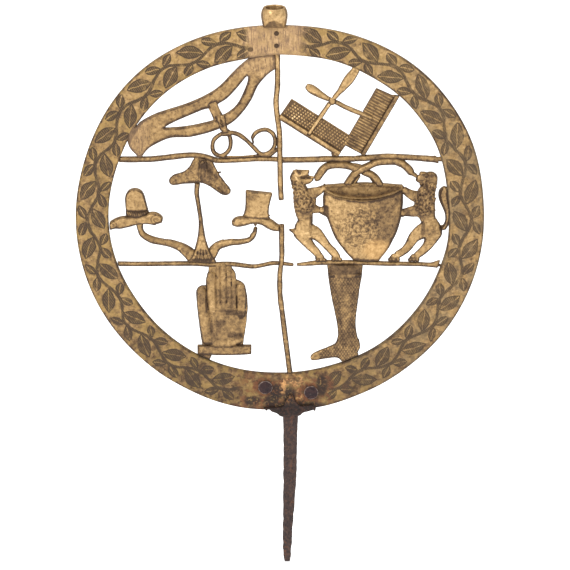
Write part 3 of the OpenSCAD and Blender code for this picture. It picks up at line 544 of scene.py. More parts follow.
def ring_brass(name):
    """The ring's brass with its engraved vine, rubbed pale at the top, darkened along its edges by patina and painted
    shade, and rusted where the iron grips it.
    """
    f, c = Finish(name), colours()
    turn = f.maths("ARCTAN2", f.x - BULGE_MIDDLE[0], f.z - BULGE_MIDDLE[1])
    from_hole, from_edge = ring_edges(f, turn)
    marks = engraved_vine(f, turn, (from_hole - from_edge) * 0.5)
    under_socket = f.step(28 - abs(f.x + 3 + f.drift(22, 7, 3, 1.0)), 0, 16)
    scoured = f.step(f.step(f.z, 250, 262) * under_socket, 0.05, 0.9)
    strokes = f.step(f.clouds(1.4, 3, stretch=(2.0, 1, 0.2), shift=6.0), 0.5, 0.62)
    right, foot, top = f.step(f.x, 20, 120), f.fade(f.z, 20, 90), f.step(f.z, 200, 275)
    # Darker towards the hole and the outer edge: partly patina, partly painted shade.
    edge = f.fade(f.least(from_hole, from_edge) + f.drift(2.4, 3, 3, 33.0), 0.5, 1.5)
    level = wear_and_shade_level(f, 0.46, 0.46, 0.3) + right * 0.02 - foot * (0.22 - right * 0.1) + top * 0.1
    level = level - strokes * scoured * 0.66 + scoured * 0.05 - edge * (0.2 + right * 0.06)
    level = level - f.fade(f.clouds(4.2, 4, shift=45.0), 0.4, 0.52) * 0.16 + f.drift(0.3, 1.6, 2, 47.0)
    yellow = f.step(f.clouds(5, 3, shift=15.0), 0.42, 0.62) * (1 - right * 0.6) * 0.5
    colour = f.blend(yellow, f.brass(level), linear(160, 130, 72))
    grey = right * f.step(f.clouds(8, 3, shift=17.0), 0.4, 0.62) * 0.35
    colour = f.blend(grey, colour, linear(126, 110, 84))
    colour = f.blend(scoured * 0.3, colour, c.scoured)
    colour = f.blend(marks * (0.96 - right * 0.12), colour, c.engraving)
    colour, rusty = rusted_foot(f, colour)
    # A small dark oval on the ring beside the collar's top end.
    dark_oval_by_collar = f.oval(-20.3, 274.9, 2.0, 1.6, 0.3)
    colour = f.blend(dark_oval_by_collar * 0.8, colour, c.hollow)
    shine = f.step(level, 0.1, 1.0) * (1 - rusty)
    height = f.clouds(0.9, 3, shift=3.0) * 0.4 + f.clouds(5, 2, shift=25.0) * 0.5 - marks * 1.2 + rusty * 0.5
    return f.finish(colour, 0.64 - shine * 0.2, 0.35 + shine * 0.3, height, 0.2)


def rusted_iron(name):
    """Forged iron: purple-brown scale with rust flakes and small pits along the grain, and painted shade on its sides.
    """
    f, c = Finish(name), colours()
    scale = f.clouds(9, 4, stretch=(1.4, 1, 0.4))
    flakes = f.step(f.clouds(2.4, 4, shift=5.0), 0.46, 0.6)
    pits = f.fade(f.clouds(1.4, 3, stretch=(1.2, 1, 0.6), shift=9.0), 0.34, 0.46)
    # Painted shade: darker where the surface turns away from the front.
    side_shade = f.fade(f.front, 0.15, 0.9)
    colour = f.blend(f.step(scale, 0.3, 0.7), linear(56, 43, 42), c.iron)
    colour = f.blend(flakes * 0.5, colour, linear(90, 64, 50))
    colour = f.blend(flakes * f.step(scale, 0.5, 0.66) * 0.55, colour, c.rust)
    colour = f.blend(f.most(pits * 0.7, side_shade * 0.4), colour, linear(38, 30, 30))
    colour = f.blend(f.step(f.z, -4, 3) * 0.85, colour, f.blend(flakes * 0.5, linear(34, 24, 20), linear(70, 40, 28)))
    brassy = f.step(f.z + f.drift(16, 4, 3, 13.0), 9, 16) * f.step(f.clouds(2.2, 4, shift=15.0), 0.45, 0.6)
    colour = f.blend(brassy * 0.75, colour, linear(140, 98, 56))
    height = f.clouds(0.8, 4, shift=3.0) * 0.6 + scale * 0.7 - pits * 0.8
    return f.finish(colour, 0.78 - flakes * 0.08, 0.3, height, 0.35)


def rivet_iron(name):
    """Rivet heads: dark faces whose rubbed rims are bright."""
    f = Finish(name)
    rim = f.step(f.wear("ridge") + f.drift(0.3, 2, 3), 0.56, 0.72)
    colour = f.blend(f.step(f.clouds(2.2, 4, shift=3.0), 0.35, 0.65), linear(34, 20, 24), linear(56, 35, 34))
    colour = f.blend(rim * 0.6, colour, linear(140, 122, 112))
    return f.finish(colour, 0.6 - rim * 0.18, 0.5, f.clouds(0.9, 4, shift=7.0), 0.25)


# Casting


def ramp(value, low, high):
    """How far value has come from low to high, from 0 to 1."""
    return min(max((value - low) / (high - low), 0.0), 1.0)


def smooth_line(points, steps):
    """A smooth line through points of any number of values, with steps between neighbours."""
    line, last = [], len(points) - 1
    for i in range(last):
        a, b, c, d = (points[max(min(k, last), 0)] for k in (i - 1, i, i + 1, i + 2))
        for t in (k / steps for k in range(steps)):
            line.append(tuple(
                0.5 * (2 * q + (r - p) * t + (2 * p - 5 * q + 4 * r - s) * t * t + (3 * q - p - 3 * r + s) * t**3)
                for p, q, r, s in zip(a, b, c, d)
            ))
    return [*line, tuple(points[-1])]


def ball_mesh(sides):
    """The mesh of a ball of radius 1, made once for each number of sides."""
    name = f"ball {sides}"
    if name not in bpy.data.meshes:
        bm = bmesh.new()
        bmesh.ops.create_uvsphere(bm, u_segments=sides, v_segments=sides // 2 + 1, radius=1.0)
        bm.to_mesh(bpy.data.meshes.new(name))
        bm.free()
    return bpy.data.meshes[name]


def add_ball(bm, x, z, radius, y=0.0, flat=1.0, sides=12):
    """A ball at x, y, z whose depth is the share flat of its width."""
    size = radius * MM
    ball = ball_mesh(sides).copy()
    ball.transform(Matrix.Translation(spot(x, z, y)) @ Matrix.Diagonal((size, size * flat, size, 1)))
    bm.from_mesh(ball)
    bpy.data.meshes.remove(ball)


def add_limb(bm, points, flat=0.62, y=0.0, smooth=True, steps=8):
    """A rounded limb along points of [x, z, radius] or [x, z, radius, y], of balls 0.4 radii apart."""
    points = [(*p, y) if len(p) == 3 else tuple(p) for p in points]
    line = smooth_line(points, steps) if smooth else points
    held = None
    for x, z, radius, depth in line:
        if held is None or math.dist(held, (x, z, depth)) > 0.4 * radius or (x, z, radius, depth) == line[-1]:
            add_ball(bm, x, z, radius, depth, flat)
            held = (x, z, depth)


def add_loop(bm, x, z, radius, wire, y, turns=1.0, end_radius=None, start=0.0, flat=1.0):
    """A wire bent round x, z: a ring, or a spiral where end_radius differs from radius."""
    end_radius = radius if end_radius is None else end_radius
    count = max(8, int(turns * math.tau * radius / (0.6 * wire)))
    for k in range(count + 1):
        r, angle = radius + (end_radius - radius) * k / count, start + turns * math.tau * k / count
        add_ball(bm, x + r * math.cos(angle), z + r * math.sin(angle), wire, y, flat, 8)


def add_curls(bm, spine, size, flat=0.62, spread=0.85):
    """Staggered curls over a limb's front, along its spine of [x, z, radius]."""
    line, row, run = smooth_line(spine, 12), 0, 0.0
    for (x0, z0, r0), (x1, z1, _) in zip(line, line[1:]):
        run += math.dist((x0, z0), (x1, z1))
        if run < size * 1.55:
            continue
        run, row = 0.0, row + 1
        length = math.dist((x0, z0), (x1, z1))
        side = ((z0 - z1) / length, (x1 - x0) / length)
        count = max(2, round(2 * r0 * spread / (size * 1.7)))
        for k in range(count + row % 2):
            share = spread * (2 * (k + 0.5 * (1 - row % 2)) / count - 1)
            if abs(share) > 0.97:
                continue
            shake, swell = (noise.noise(Vector((x0 + k * 3.1, row * 2.3 + n * 9.7, z0))) for n in (0, 1))
            share = min(max(share + swell * 0.25, -0.8), 0.8)
            depth = -flat * r0 * math.sqrt(1 - share * share)
            x, z = x0 + side[0] * share * r0 + shake * 0.9, z0 + side[1] * share * r0 + swell * 0.9
            lock, angle = size * (0.95 + 0.8 * swell), 9.0 * shake + k
            for n in range(5):
                angle, thick = angle + 0.75, lock * (0.78 - 0.12 * n)
                add_ball(bm, x + lock * 0.75 * math.cos(angle), z + lock * 0.75 * math.sin(angle), thick, depth, 0.9, 8)


def add_paw(bm, x, z, radius, dx, dz):
    """A bent paw at x, z that points along dx, dz, with three claws side by side."""
    add_ball(bm, x, z, radius, -0.2, 0.8)
    for k in (-1, 0, 1):
        claw = [
            (x + (dx * along - dz * k * aside) * radius, z + (dz * along + dx * k * aside) * radius, thick * radius, y)
            for along, aside, thick, y in ((0.3, 0.62, 0.42, -1.1), (1.1, 0.7, 0.34, -0.6))
        ]
        add_limb(bm, claw, 0.9, smooth=False)


def add_foot(bm, x, z, radius):
    """A foot that stands at x, z, with three thick toes side by side."""
    add_ball(bm, x, z + 0.2 * radius, radius, 0, 0.8)
    for k in (-1, 0, 1):
        add_ball(bm, x + k * radius * 0.98, z - 0.32 * radius, radius * 0.62, -1.2, 0.9)


def node_copy(*nodes):
    """A bmesh holding a merged copy of CAD nodes."""
    bm = bmesh.new()
    for node in nodes:
        bm.from_mesh(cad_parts[node].data)
    bmesh.ops.remove_doubles(bm, verts=bm.verts, dist=0.002 * MM)
    return bm


def shift_points(bm, shift):
    """Moves each point by the x and z that shift gives for its own x and z."""
    for vert in bm.verts:
        across, up = shift(vert.co.x / MM - RING_X, vert.co.z / MM)
        vert.co.x += across * MM
        vert.co.z += up * MM


def press_front(bm, depth):
    """Presses the front back to what depth gives for each point's z."""
    for vert in bm.verts:
        vert.co.y = max(vert.co.y, -depth(vert.co.z / MM) * MM)


def press_back(bm):
    """Presses everything behind the figures' back flat, as in an open mould."""
    for vert in bm.verts:
        vert.co.y = min(vert.co.y, BACK_Y * MM)


def mark_wear_and_shade(mesh, grained=True):
    """Writes the attributes that the finishes read.

    'ridge' is under 0.5 in a hollow and over it on a ridge, and stays 0.5 on a mesh that isn't evenly grained.
    'rim' and 'below' are the millimetres to where the surface turns off to a side and to where it faces down.
    The finishes darken the rim as patina and painted shade, and paint shade near what faces down.
    """
    count = len(mesh.vertices)
    places, normals = np.empty(count * 3, np.float32), np.empty(count * 3, np.float32)
    ends = np.empty(len(mesh.edges) * 2, np.int32)
    mesh.vertices.foreach_get("co", places)
    mesh.vertex_normals.foreach_get("vector", normals)
    mesh.edges.foreach_get("vertices", ends)
    places, normals, ends = places.reshape(-1, 3) / MM, normals.reshape(-1, 3), ends.reshape(-1, 2)
    near = np.maximum(np.bincount(ends.ravel(), minlength=count), 1)

    def around(values):
        """The mean of each point's neighbours."""
        total = np.bincount(ends[:, 0], values[ends[:, 1]], count) + np.bincount(ends[:, 1], values[ends[:, 0]], count)
        return total / near

    ridge = np.full(count, 0.5)
    lengths = np.linalg.norm(places[ends[:, 0]] - places[ends[:, 1]], axis=1)
    rim = np.where(np.abs(normals[:, 1]) + UNDER * normals[:, 2] < TURNED, 0.0, RIM_REACH)
    below = np.where(normals[:, 2] < FACING_DOWN, 0.0, RIM_REACH)
    for far in (rim, below):
        for _ in range(RIM_ROUNDS):
            for near_end, far_end in ((0, 1), (1, 0)):
                np.minimum.at(far, ends[:, near_end], far[ends[:, far_end]] + lengths)
    if grained:
        inward = np.stack([around(places[:, k]) for k in range(3)], 1) - places
        bend = -(inward * normals).sum(1) * 2 / lengths.mean() ** 2
        for _ in range(3):
            bend = 0.5 * bend + 0.5 * around(bend)
        ridge += 0.5 * np.tanh(bend * 0.55)
    for name, values in (("ridge", ridge), ("rim", rim), ("below", below)):
        mesh.attributes.new(name, "FLOAT", "POINT").data.foreach_set("value", values.astype(np.float32))


def place_piece(name, mesh, nodes, material, grained=True):
    """Puts a finished mesh, kept inside the frame's box, into the scene in place of its CAD nodes."""
    places = np.empty(len(mesh.vertices) * 3, np.float32)
    mesh.vertices.foreach_get("co", places)
    kept = np.clip(places.reshape(-1, 3), *(np.array(corner, np.float32) for corner in FRAME_BOX))
    mesh.vertices.foreach_set("co", kept.ravel())
    mark_wear_and_shade(mesh, grained)
    for face in mesh.polygons:
        face.use_smooth = True
    mesh.materials.clear()
    mesh.materials.append(material)
    piece = bpy.data.objects.new(name, mesh)
    bpy.context.scene.collection.objects.link(piece)
    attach(piece, "root")
    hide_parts(*nodes)


def cast(node, bm, slot, material, way="cast", grain=1.0, rounds=2, dents=0.08, dent_size=5.0, swell=0.0):
    """Casts the shells in bm in one, in place of a CAD node.

    They are joined to a fine grain, softened by rounds, dented a little and filled out by swell.
    """
    name = f"{node}_{way}"
    raw = bpy.data.meshes.new(name)
    bm.to_mesh(raw)
    bm.free()
    mould = bpy.data.objects.new(name, raw)
    bpy.context.scene.collection.objects.link(mould)
    remesh = mould.modifiers.new("Join", "REMESH")
    remesh.mode = "VOXEL"
    remesh.voxel_size = sizes().casting_grain * grain
    poured = bpy.data.meshes.new_from_object(mould.evaluated_get(bpy.context.evaluated_depsgraph_get()))
    bpy.data.objects.remove(mould)
    bpy.data.meshes.remove(raw)
    if not poured.polygons:
        raise RuntimeError(f"{name} came out empty")
    bm = bmesh.new()
    bm.from_mesh(poured)
    for _ in range(rounds):
        bmesh.ops.smooth_vert(bm, verts=bm.verts, factor=0.5, use_axis_x=True, use_axis_y=True, use_axis_z=True)
    bm.normal_update()
    for vert in bm.verts:
        vert.co += vert.normal * ((swell + noise.noise(vert.co / (dent_size * MM)) * dents) * MM)
    bm.to_mesh(poured)
    bm.free()
    poured.name = name
    place_piece(name, poured, [node], material)


def cast_node(node, slot, material, **wear):
    """Casts a worn copy of one CAD node."""
    cast(node, node_copy(node), slot, material, **wear)


# Pieces


class EMBLEM_OT_ring(bpy.types.Operator):
    """Draw the flat ring out of loops round its section, a little uneven, under its engraved vine"""

    bl_idname = "emblem.ring"
    bl_label = "Engraved Ring"

    def execute(self, context):
        s = sizes()
        hole, outer = s.hole_radius / MM, s.ring_radius / MM
        bm = bmesh.new()
        self.draw_out(bm, self.section(s.ring_thickness / MM / 2), hole, outer)
        bmesh.ops.remove_doubles(bm, verts=bm.verts, dist=0.001 * MM)
        bmesh.ops.recalc_face_normals(bm, faces=bm.faces)
        self.make_uneven(bm, hole, outer)
        mesh = bpy.data.meshes.new("ring")
        bm.to_mesh(mesh)
        bm.free()
        place_piece("ring_cast", mesh, ["ring_band"], ring_brass("engraved ring brass"), False)
        return {"FINISHED"}

    def section(self, half):
        """The section's corners as offset, y and edge: from the hole, from the outer edge, or a share between them."""
        inner = [(0.0, half - 0.45, 0), (0.12, half - 0.12, 0), (0.45, half, 0)]
        middle = [(share, half, 2) for share in (0.1, 0.22, 0.36, 0.5, 0.64, 0.78, 0.9)]
        outer = [(0.6, half, 1), (0.18, half - 0.16, 1), (0.0, half - 0.55, 1)]
        back = [*inner, *middle, *outer]
        return [(offset, -y, edge) for offset, y, edge in back] + back[::-1]

    def draw_out(self, bm, section, hole, outer):
        """Draws a circle from corner to corner of the section, back to where it starts."""
        edges = []
        for offset, y, edge in [*section, section[0]]:
            share = (0, 1, offset)[edge]
            radius = (hole + offset, outer - offset, hole + (outer - hole) * offset)[edge]
            x, z = (a + (b - a) * share for a, b in zip(HOLE_MIDDLE, RING_MIDDLE))
            centre = spot(x, z, y)
            if edges:
                made = bmesh.ops.extrude_edge_only(bm, edges=edges)["geom"]
                verts = [g for g in made if isinstance(g, bmesh.types.BMVert)]
                edges = [g for g in made if isinstance(g, bmesh.types.BMEdge)]
                widen = Matrix.Diagonal((radius / last_radius, 1, radius / last_radius, 1))
                move = Matrix.Translation(centre) @ widen @ Matrix.Translation(-last_centre)
                bmesh.ops.transform(bm, matrix=move, verts=verts)
            else:
                upright = Matrix.Translation(centre) @ Matrix.Rotation(math.radians(90), 4, "X")
                bmesh.ops.create_circle(bm, segments=RING_SEGMENTS, radius=radius * MM, matrix=upright)
                edges = bm.edges[:]
            last_centre, last_radius = centre, radius

    def make_uneven(self, bm, hole, outer):
        """Flattens the ring's edge under the socket, sways it and pushes its bulges out."""
        for vert in bm.verts:
            x, z = vert.co.x / MM - RING_X, vert.co.z / MM
            share = ramp(math.dist((x, z), HOLE_MIDDLE), hole, outer)
            flattened = 1.3 * math.exp(-(((x - 4) / 30) ** 2)) * share if z > 200 else 0.0
            sway = noise.noise(vert.co / (34 * MM)) * 0.4
            vert.co.z -= (flattened + sway * (share - 0.5)) * MM
            turn = math.atan2(x - BULGE_MIDDLE[0], z - BULGE_MIDDLE[1])
            for middle, span, at_edge, at_hole in BULGES:
                far = min(abs(math.degrees(turn) - middle) / span, 1.0)
                out = (1 - far * far * (3 - 2 * far)) * (at_hole + (at_edge - at_hole) * share)
                vert.co.x += out * math.sin(turn) * MM
                vert.co.z += out * math.cos(turn) * MM
            vert.co.y += noise.noise(vert.co / (26 * MM)) * 0.12 * MM


class EMBLEM_OT_socket(bpy.types.Operator):
    """Cast the finial socket with its bored barrel and its two rivets"""

    bl_idname = "emblem.socket"
    bl_label = "Finial Socket"

    def execute(self, context):
        f = Finish("socket brass")
        # Painted light lifts the inside of the bore, which is also rusty in patches.
        inside = f.step(6.4 - f.length(f.x + 3.7, f.y), 0.0, 0.3) * f.step(f.z, 294, 295)
        lip = f.step(f.z + f.drift(2.4, 3, 3, 9.0), 302.6, 304.2)
        olive = f.fade(f.z, 291, 296)
        level = wear_and_shade_level(f, 0.74, 0.5, 0.42, 0.5) + inside * 0.1 - lip * 0.06 - olive * 0.14
        level = f.most(level, f.fade(f.z, 290, 292.5) * 0.6)
        rusty = f.step(f.clouds(3, 3, shift=5.0), 0.4, 0.6) * inside * 0.5
        material = brass_surface(f, level, colour=lambda v: f.blend(rusty, f.brass(v), colours().rust))
        bm = node_copy("top_socket")
        press_front(bm, lambda z: 2.4 + max(z - 288.5, 0) * 0.8)
        cast("top_socket", bm, "socket_brass", material, grain=0.9, rounds=3, dents=0.1, dent_size=6)
        cast_node("socket_rivets", "rivet_dark", cast_brass("socket rivet", 0.04, 0.2), grain=0.6, rounds=1, dents=0.1)
        return {"FINISHED"}


class EMBLEM_OT_rods(bpy.types.Operator):
    """Cast the two uprights and the six lengths of crossbar"""

    bl_idname = "emblem.rods"
    bl_label = "Uprights and Crossbars"

    def execute(self, context):
        pale = cast_brass("upright brass", 0.54, 0.5, 0.4)
        brown = cast_brass("crossbar brass", 0.43, 0.55, 0.4, 0.9)
        low = cast_brass("lower upright brass", 0.42, 0.6, 0.4)
        worn = cast_brass("lower crossbar brass", 0.5, 0.55, 0.4, 0.8)
        for node, material, swell, drop, solder, end in (
            ("upright_upper", pale, 0.3, 0.0, None, None),
            ("upright_lower", low, 0.3, 0.0, None, None),
            ("upper_bar_left_outer", brown, 0.34, 0.35, None, None),
            ("upper_bar_left_inner", pale, 0.24, 0.2, (-45.0, 194.2), None),
            ("upper_bar_right_inner", brown, 0.24, 0.35, None, None),
            ("upper_bar_right_outer", brown, 0.3, 0.2, (53.2, 195.4), (107, 195, 1.6)),
            ("lower_bar_left", brown, 0.2, 0.2, None, None),
            ("lower_bar_right", worn, 0.12, 0.4, None, (107, 115.8, 1.0)),
        ):
            bm = node_copy(node)
            shift_points(bm, lambda x, z: (0.5 * ramp(96 - z + drop, 0, 20), -drop))
            if solder:
                x, z = solder
                add_limb(bm, [(x - 1.8, z, 1.35), (x, z + 0.1, 1.6), (x + 1.8, z, 1.35)], 0.9)
            if end:
                x, z, thick = end
                add_limb(bm, [(x, z, thick), (x + 3.4, z, thick), (x + 7, z, thick)], 0.8)
            cast(node, bm, "rod_brass", material, grain=0.8, rounds=3, dents=0.18, dent_size=7, swell=swell)
        return {"FINISHED"}


class EMBLEM_OT_collar(bpy.types.Operator):
    """Cast the harness collar, its strut wound with cord, and the round cord's scroll"""

    bl_idname = "emblem.collar"
    bl_label = "Collar and Cord"

    def execute(self, context):
        self.cast_frame()
        self.cast_strut()
        self.cast_scroll()
        return {"FINISHED"}

    def cast_frame(self):
        f = Finish("collar brass")
        ends = f.most(f.step(f.z + f.drift(14, 5, 3), 252, 262), f.fade(f.x, -98, -86))
        scratch = f.step(f.clouds(1.2, 2, stretch=(2.2, 1, 0.3), shift=9.0), 0.54, 0.66) * ends
        beside_ring = f.most(f.fade(f.x, -92, -86), f.step(f.x, -26, -20))
        # Painted shade where the collar meets the edge of the ring's hole.
        touching_shade = f.step(f.reach(*HOLE_MIDDLE), 116.9, 118.2) * beside_ring
        level = wear_and_shade_level(f, 0.49, 0.5, 0.5, 1.5) + f.step(f.z, 236, 262) * 0.06 - scratch * 0.4 - touching_shade * 0.34
        material = brass_surface(f, level, colour=lambda v: f.blend(ends * 0.16, f.brass(v), colours().scoured))
        bm = node_copy("collar_frame")
        add_limb(bm, [
            (-101.6, 220.0, 1.8), (-103.0, 215.0, 2.3), (-103.4, 210.4, 2.8), (-102.8, 205.8, 2.8),
            (-100.8, 202.2, 2.5), (-98.6, 199.8, 1.9),
        ], 0.8)
        add_limb(bm, [(-17, 267.6, 1.5), (-11, 269.3, 1.6), (-5, 269.7, 1.5)], 0.7)
        cast("collar_frame", bm, "figure_brass", material, rounds=4, dents=0.14, dent_size=9, swell=0.42)

    def cast_strut(self):
        """The strut ends inside the collar, so its top is pressed in and has no dark rim."""
        bm = node_copy("collar_strut")
        for k in range(3):
            strand = [(-42.6 + 1.9 * k, 226.0 + 0.5 * k, 0.9, -1.5), (-39.6 + 1.5 * k, 214.8 + 0.3 * k, 0.9, -1.7)]
            add_limb(bm, strand, 0.8)
        add_limb(bm, [(-47.8, 237.0, 4.2), (-46.2, 232.4, 3.4), (-44.4, 228, 3.3), (-42.8, 224.6, 3.6)], 0.5)
        press_front(bm, lambda z: 1.3 if z > 231 else math.inf)
        press_back(bm)
        f = Finish("strut brass")
        material = brass_surface(f, wear_and_shade_level(f, 0.48, 0.5, 0.5 - f.step(f.z, 228, 232) * 0.5))
        cast("collar_strut", bm, "rod_brass", material, grain=0.8, rounds=3, swell=0.1)

    def cast_scroll(self):
        bm = bmesh.new()
        add_limb(bm, [
            (-38.2, 214.4, 1.3), (-42.4, 212.4, 1.3), (-46.1, 208.8, 1.3), (-47.1, 203.8, 1.3), (-45.9, 199.8, 1.3),
            (-42.2, 197.4, 1.3), (-38.4, 198.6, 1.3), (-35.2, 202.3, 1.3), (-34.3, 206.9, 1.3), (-34.9, 211.3, 1.3),
            (-36.2, 215.4, 1.3),
        ], 0.95)
        add_limb(bm, [
            (-38.4, 213.8, 1.4), (-33.1, 214.2, 1.4), (-29, 213.0, 1.4), (-24.9, 210.2, 1.35), (-21.4, 206.8, 1.3),
            (-17.9, 203.1, 1.3), (-15, 199.9, 1.3), (-11.5, 198.4, 1.3), (-7.5, 199.8, 1.3), (-4.3, 203.3, 1.25),
            (-3.3, 208.2, 1.25), (-4.5, 213, 1.3), (-7.5, 215.7, 1.3), (-10.8, 216.5, 1.3), (-14.5, 215.6, 1.3),
            (-17.4, 213.6, 1.3), (-19, 211, 1.1),
        ], 0.95)
        add_limb(bm, [(-19.2, 211, 0.7), (-19.0, 208.8, 0.55), (-18.5, 206.8, 0.45)], 0.95)
        add_limb(bm, [(-12.4, 197.4, 1.1), (-8, 197.6, 1.15), (-5, 199.4, 1.15), (-1.8, 202.2, 1.1)], 0.95)
        add_limb(bm, [(-40, 196.4, 0.9), (-30, 196.3, 0.9), (-20, 196.8, 0.9), (-14, 197.8, 0.9)], 0.9)
        for x in (-39.4, -38.0, -36.6):
            add_limb(bm, [(x, 212.8, 0.75, -1.1), (x - 0.2, 216.4, 0.75, -1.1)], 0.8)
        press_back(bm)
        cord = cast_brass("cord brass", 0.42)
        cast("cord_scroll", bm, "rod_brass", cord, grain=0.8, dents=0.14, dent_size=4, swell=0.32)


class EMBLEM_OT_cards(bpy.types.Operator):
    """Cast the two wool cards, their teeth, their crossed handles and the boss between them"""

    bl_idname = "emblem.cards"
    bl_label = "Wool Cards"

    def execute(self, context):
        handle = cast_brass("card handle brass", 0.64, 0.4, 0.5, 0.6)
        self.cast_boards()
        self.cast_teeth()
        self.cast_handles(handle)
        return {"FINISHED"}

    def cast_boards(self):
        bm = node_copy("left_card_board")
        self.stretch(bm, LEFT_CARD, lambda u, v: (
            -1.2 * max(1 - u / 8, 0) if u > -1 else 0,
            0.9 * max((v - 10) / 5, 0) - (1.1 * max(1 - v / 5, 0) if v > -1 else 0),
        ))
        f = Finish("left card brass")
        (x, z), turn = LEFT_CARD[0], math.radians(LEFT_CARD[1])
        up = (f.z - z) * math.cos(turn) - (f.x - x) * math.sin(turn)
        lines = f.fade(abs(up - 3.2), 0.1, 0.7) * 0.26 + f.fade(up, 0.2, 1.1) * 0.24
        material = brass_surface(f, wear_and_shade_level(f, 0.6, 0.5, 0.4, 0.6) - lines)
        cast("left_card_board", bm, "figure_brass", material, grain=0.9)
        bm = node_copy("right_card_board")
        add_limb(bm, [(46.0, 206.4, 1.1), (46.8, 209.0, 1.0)], 0.8, 0.4)
        press_back(bm)
        self.stretch(bm, RIGHT_CARD, lambda u, v: (
            max((u - 40) / 8, 0) * max(4.8 - v * 0.9, -0.5), 2.7 * max((v - 6) / 8, 0)
        ))
        material = cast_brass("right card brass", 0.38, 0.5, 0.4, 0.6)
        cast("right_card_board", bm, "figure_brass", material, grain=0.9)

    def cast_teeth(self):
        """The left card shows rows of teeth from above, the right one two rows of them run together into ribs."""
        bm = bmesh.new()
        self.add_cloth(bm, LEFT_CARD, (49.4, 15.6), -1.2)
        for row in range(TOOTH_ROWS):
            for k in range(CARD_COLUMNS):
                shake = noise.noise(Vector((k * 1.9, row * 3.7, 0.7)))
                u, v = 0.5 + 2.2 * k + 0.4 * row, 4.5 + 1.94 * row
                if u < 48.4:
                    self.add_tooth(bm, LEFT_CARD, u, v + shake * 0.3, 0.0, 0.8 + shake * 0.24)
        material = card_brass("left card teeth", 0.68, 1.3, 0.85, 0.16)
        cast("left_card_teeth", bm, "dark_brass", material, grain=0.64, rounds=1, dents=0.06)
        bm = bmesh.new()
        self.add_cloth(bm, RIGHT_CARD, (47.6, 17.0))
        for k in range(CARD_COLUMNS):
            for n, (low, high) in enumerate(((3.9, 9.4), (10.4, 16.3))):
                shake = noise.noise(Vector((k * 1.7, n * 5.3, 0.4)))
                u, v = 1.6 + 2.1 * k + shake * 0.5, (low + high) / 2
                self.add_tooth(bm, RIGHT_CARD, u, v, (high - low) / 2, 0.74 + shake * 0.12)
        material = card_brass("right card ribs", 0.55, 1.4, 0.8, 0.22)
        cast("right_card_teeth", bm, "dark_brass", material, grain=0.64, rounds=1, dents=0.12)

    def cast_handles(self, material):
        """The left handle's blade is drawn in on both sides and reaches past the card's corner."""
        wear = {"grain": 0.8, "rounds": 4, "dents": 0.16, "swell": 0.26}
        bm = node_copy("left_card_handle")
        add_limb(bm, [(51.8, 258.0, 3.3), (53.6, 263.0, 3.1), (55.8, 270, 2.9)], 0.55)
        self.stretch(bm, HANDLE_BLADE, lambda u, v: (0, -v * ramp(u, 3, 9) * (0.32 if v > 0 else 0.14)))
        shift_points(bm, lambda x, z: (0.2 if z > 243 else -0.3 if z < 238 else 0, 0))
        cast("left_card_handle", bm, "rod_brass", material, **wear)
        bm = node_copy("right_card_handle")
        shift_points(bm, lambda x, z: (0, -0.5 if x > 41 else 0))
        cast("right_card_handle", bm, "rod_brass", material, **wear)
        cast_node("handle_boss", "rod_brass", cast_brass("boss brass", 0.56, 0.3), grain=0.5)

    def place(self, card, u, v):
        """The x and z of the place u along a card and v up it."""
        (x, z), turn = card[0], math.radians(card[1])
        return x + u * math.cos(turn) - v * math.sin(turn), z + u * math.sin(turn) + v * math.cos(turn)

    def stretch(self, bm, card, pull):
        """Moves each point by what pull gives, along a card and up it, for its place u, v there."""
        (x, z), turn = card[0], math.radians(card[1])
        cosine, sine = math.cos(turn), math.sin(turn)

        def shift(px, pz):
            du, dv = pull((px - x) * cosine + (pz - z) * sine, (pz - z) * cosine - (px - x) * sine)
            return du * cosine - dv * sine, du * sine + dv * cosine

        shift_points(bm, shift)

    def add_cloth(self, bm, card, size, start=0.0):
        """The leather that the teeth stand in, above the card's bound edge."""
        edge, inset = 3.3, 0.35
        x, z = self.place(card, (size[0] + start) / 2, (size[1] + edge) / 2)
        scale = Matrix.Diagonal(((size[0] - start - 2 * inset) * MM, 0.75 * MM, (size[1] - edge - inset) * MM, 1))
        turn = Matrix.Rotation(-math.radians(card[1]), 4, "Y")
        bmesh.ops.create_cube(bm, size=1, matrix=Matrix.Translation(spot(x, z, -0.5)) @ turn @ scale)

    def add_tooth(self, bm, card, u, v, half, radius):
        """A tooth at u, v on a card, or a rib that reaches half to each side of it across the card."""
        steps = max(1, round(2 * half / 0.8)) if half else 0
        for k in range(steps + 1):
            x, z = self.place(card, u, v - half + 2 * half * k / max(steps, 1))
            add_ball(bm, x, z, radius, -0.8, 0.9, 8)


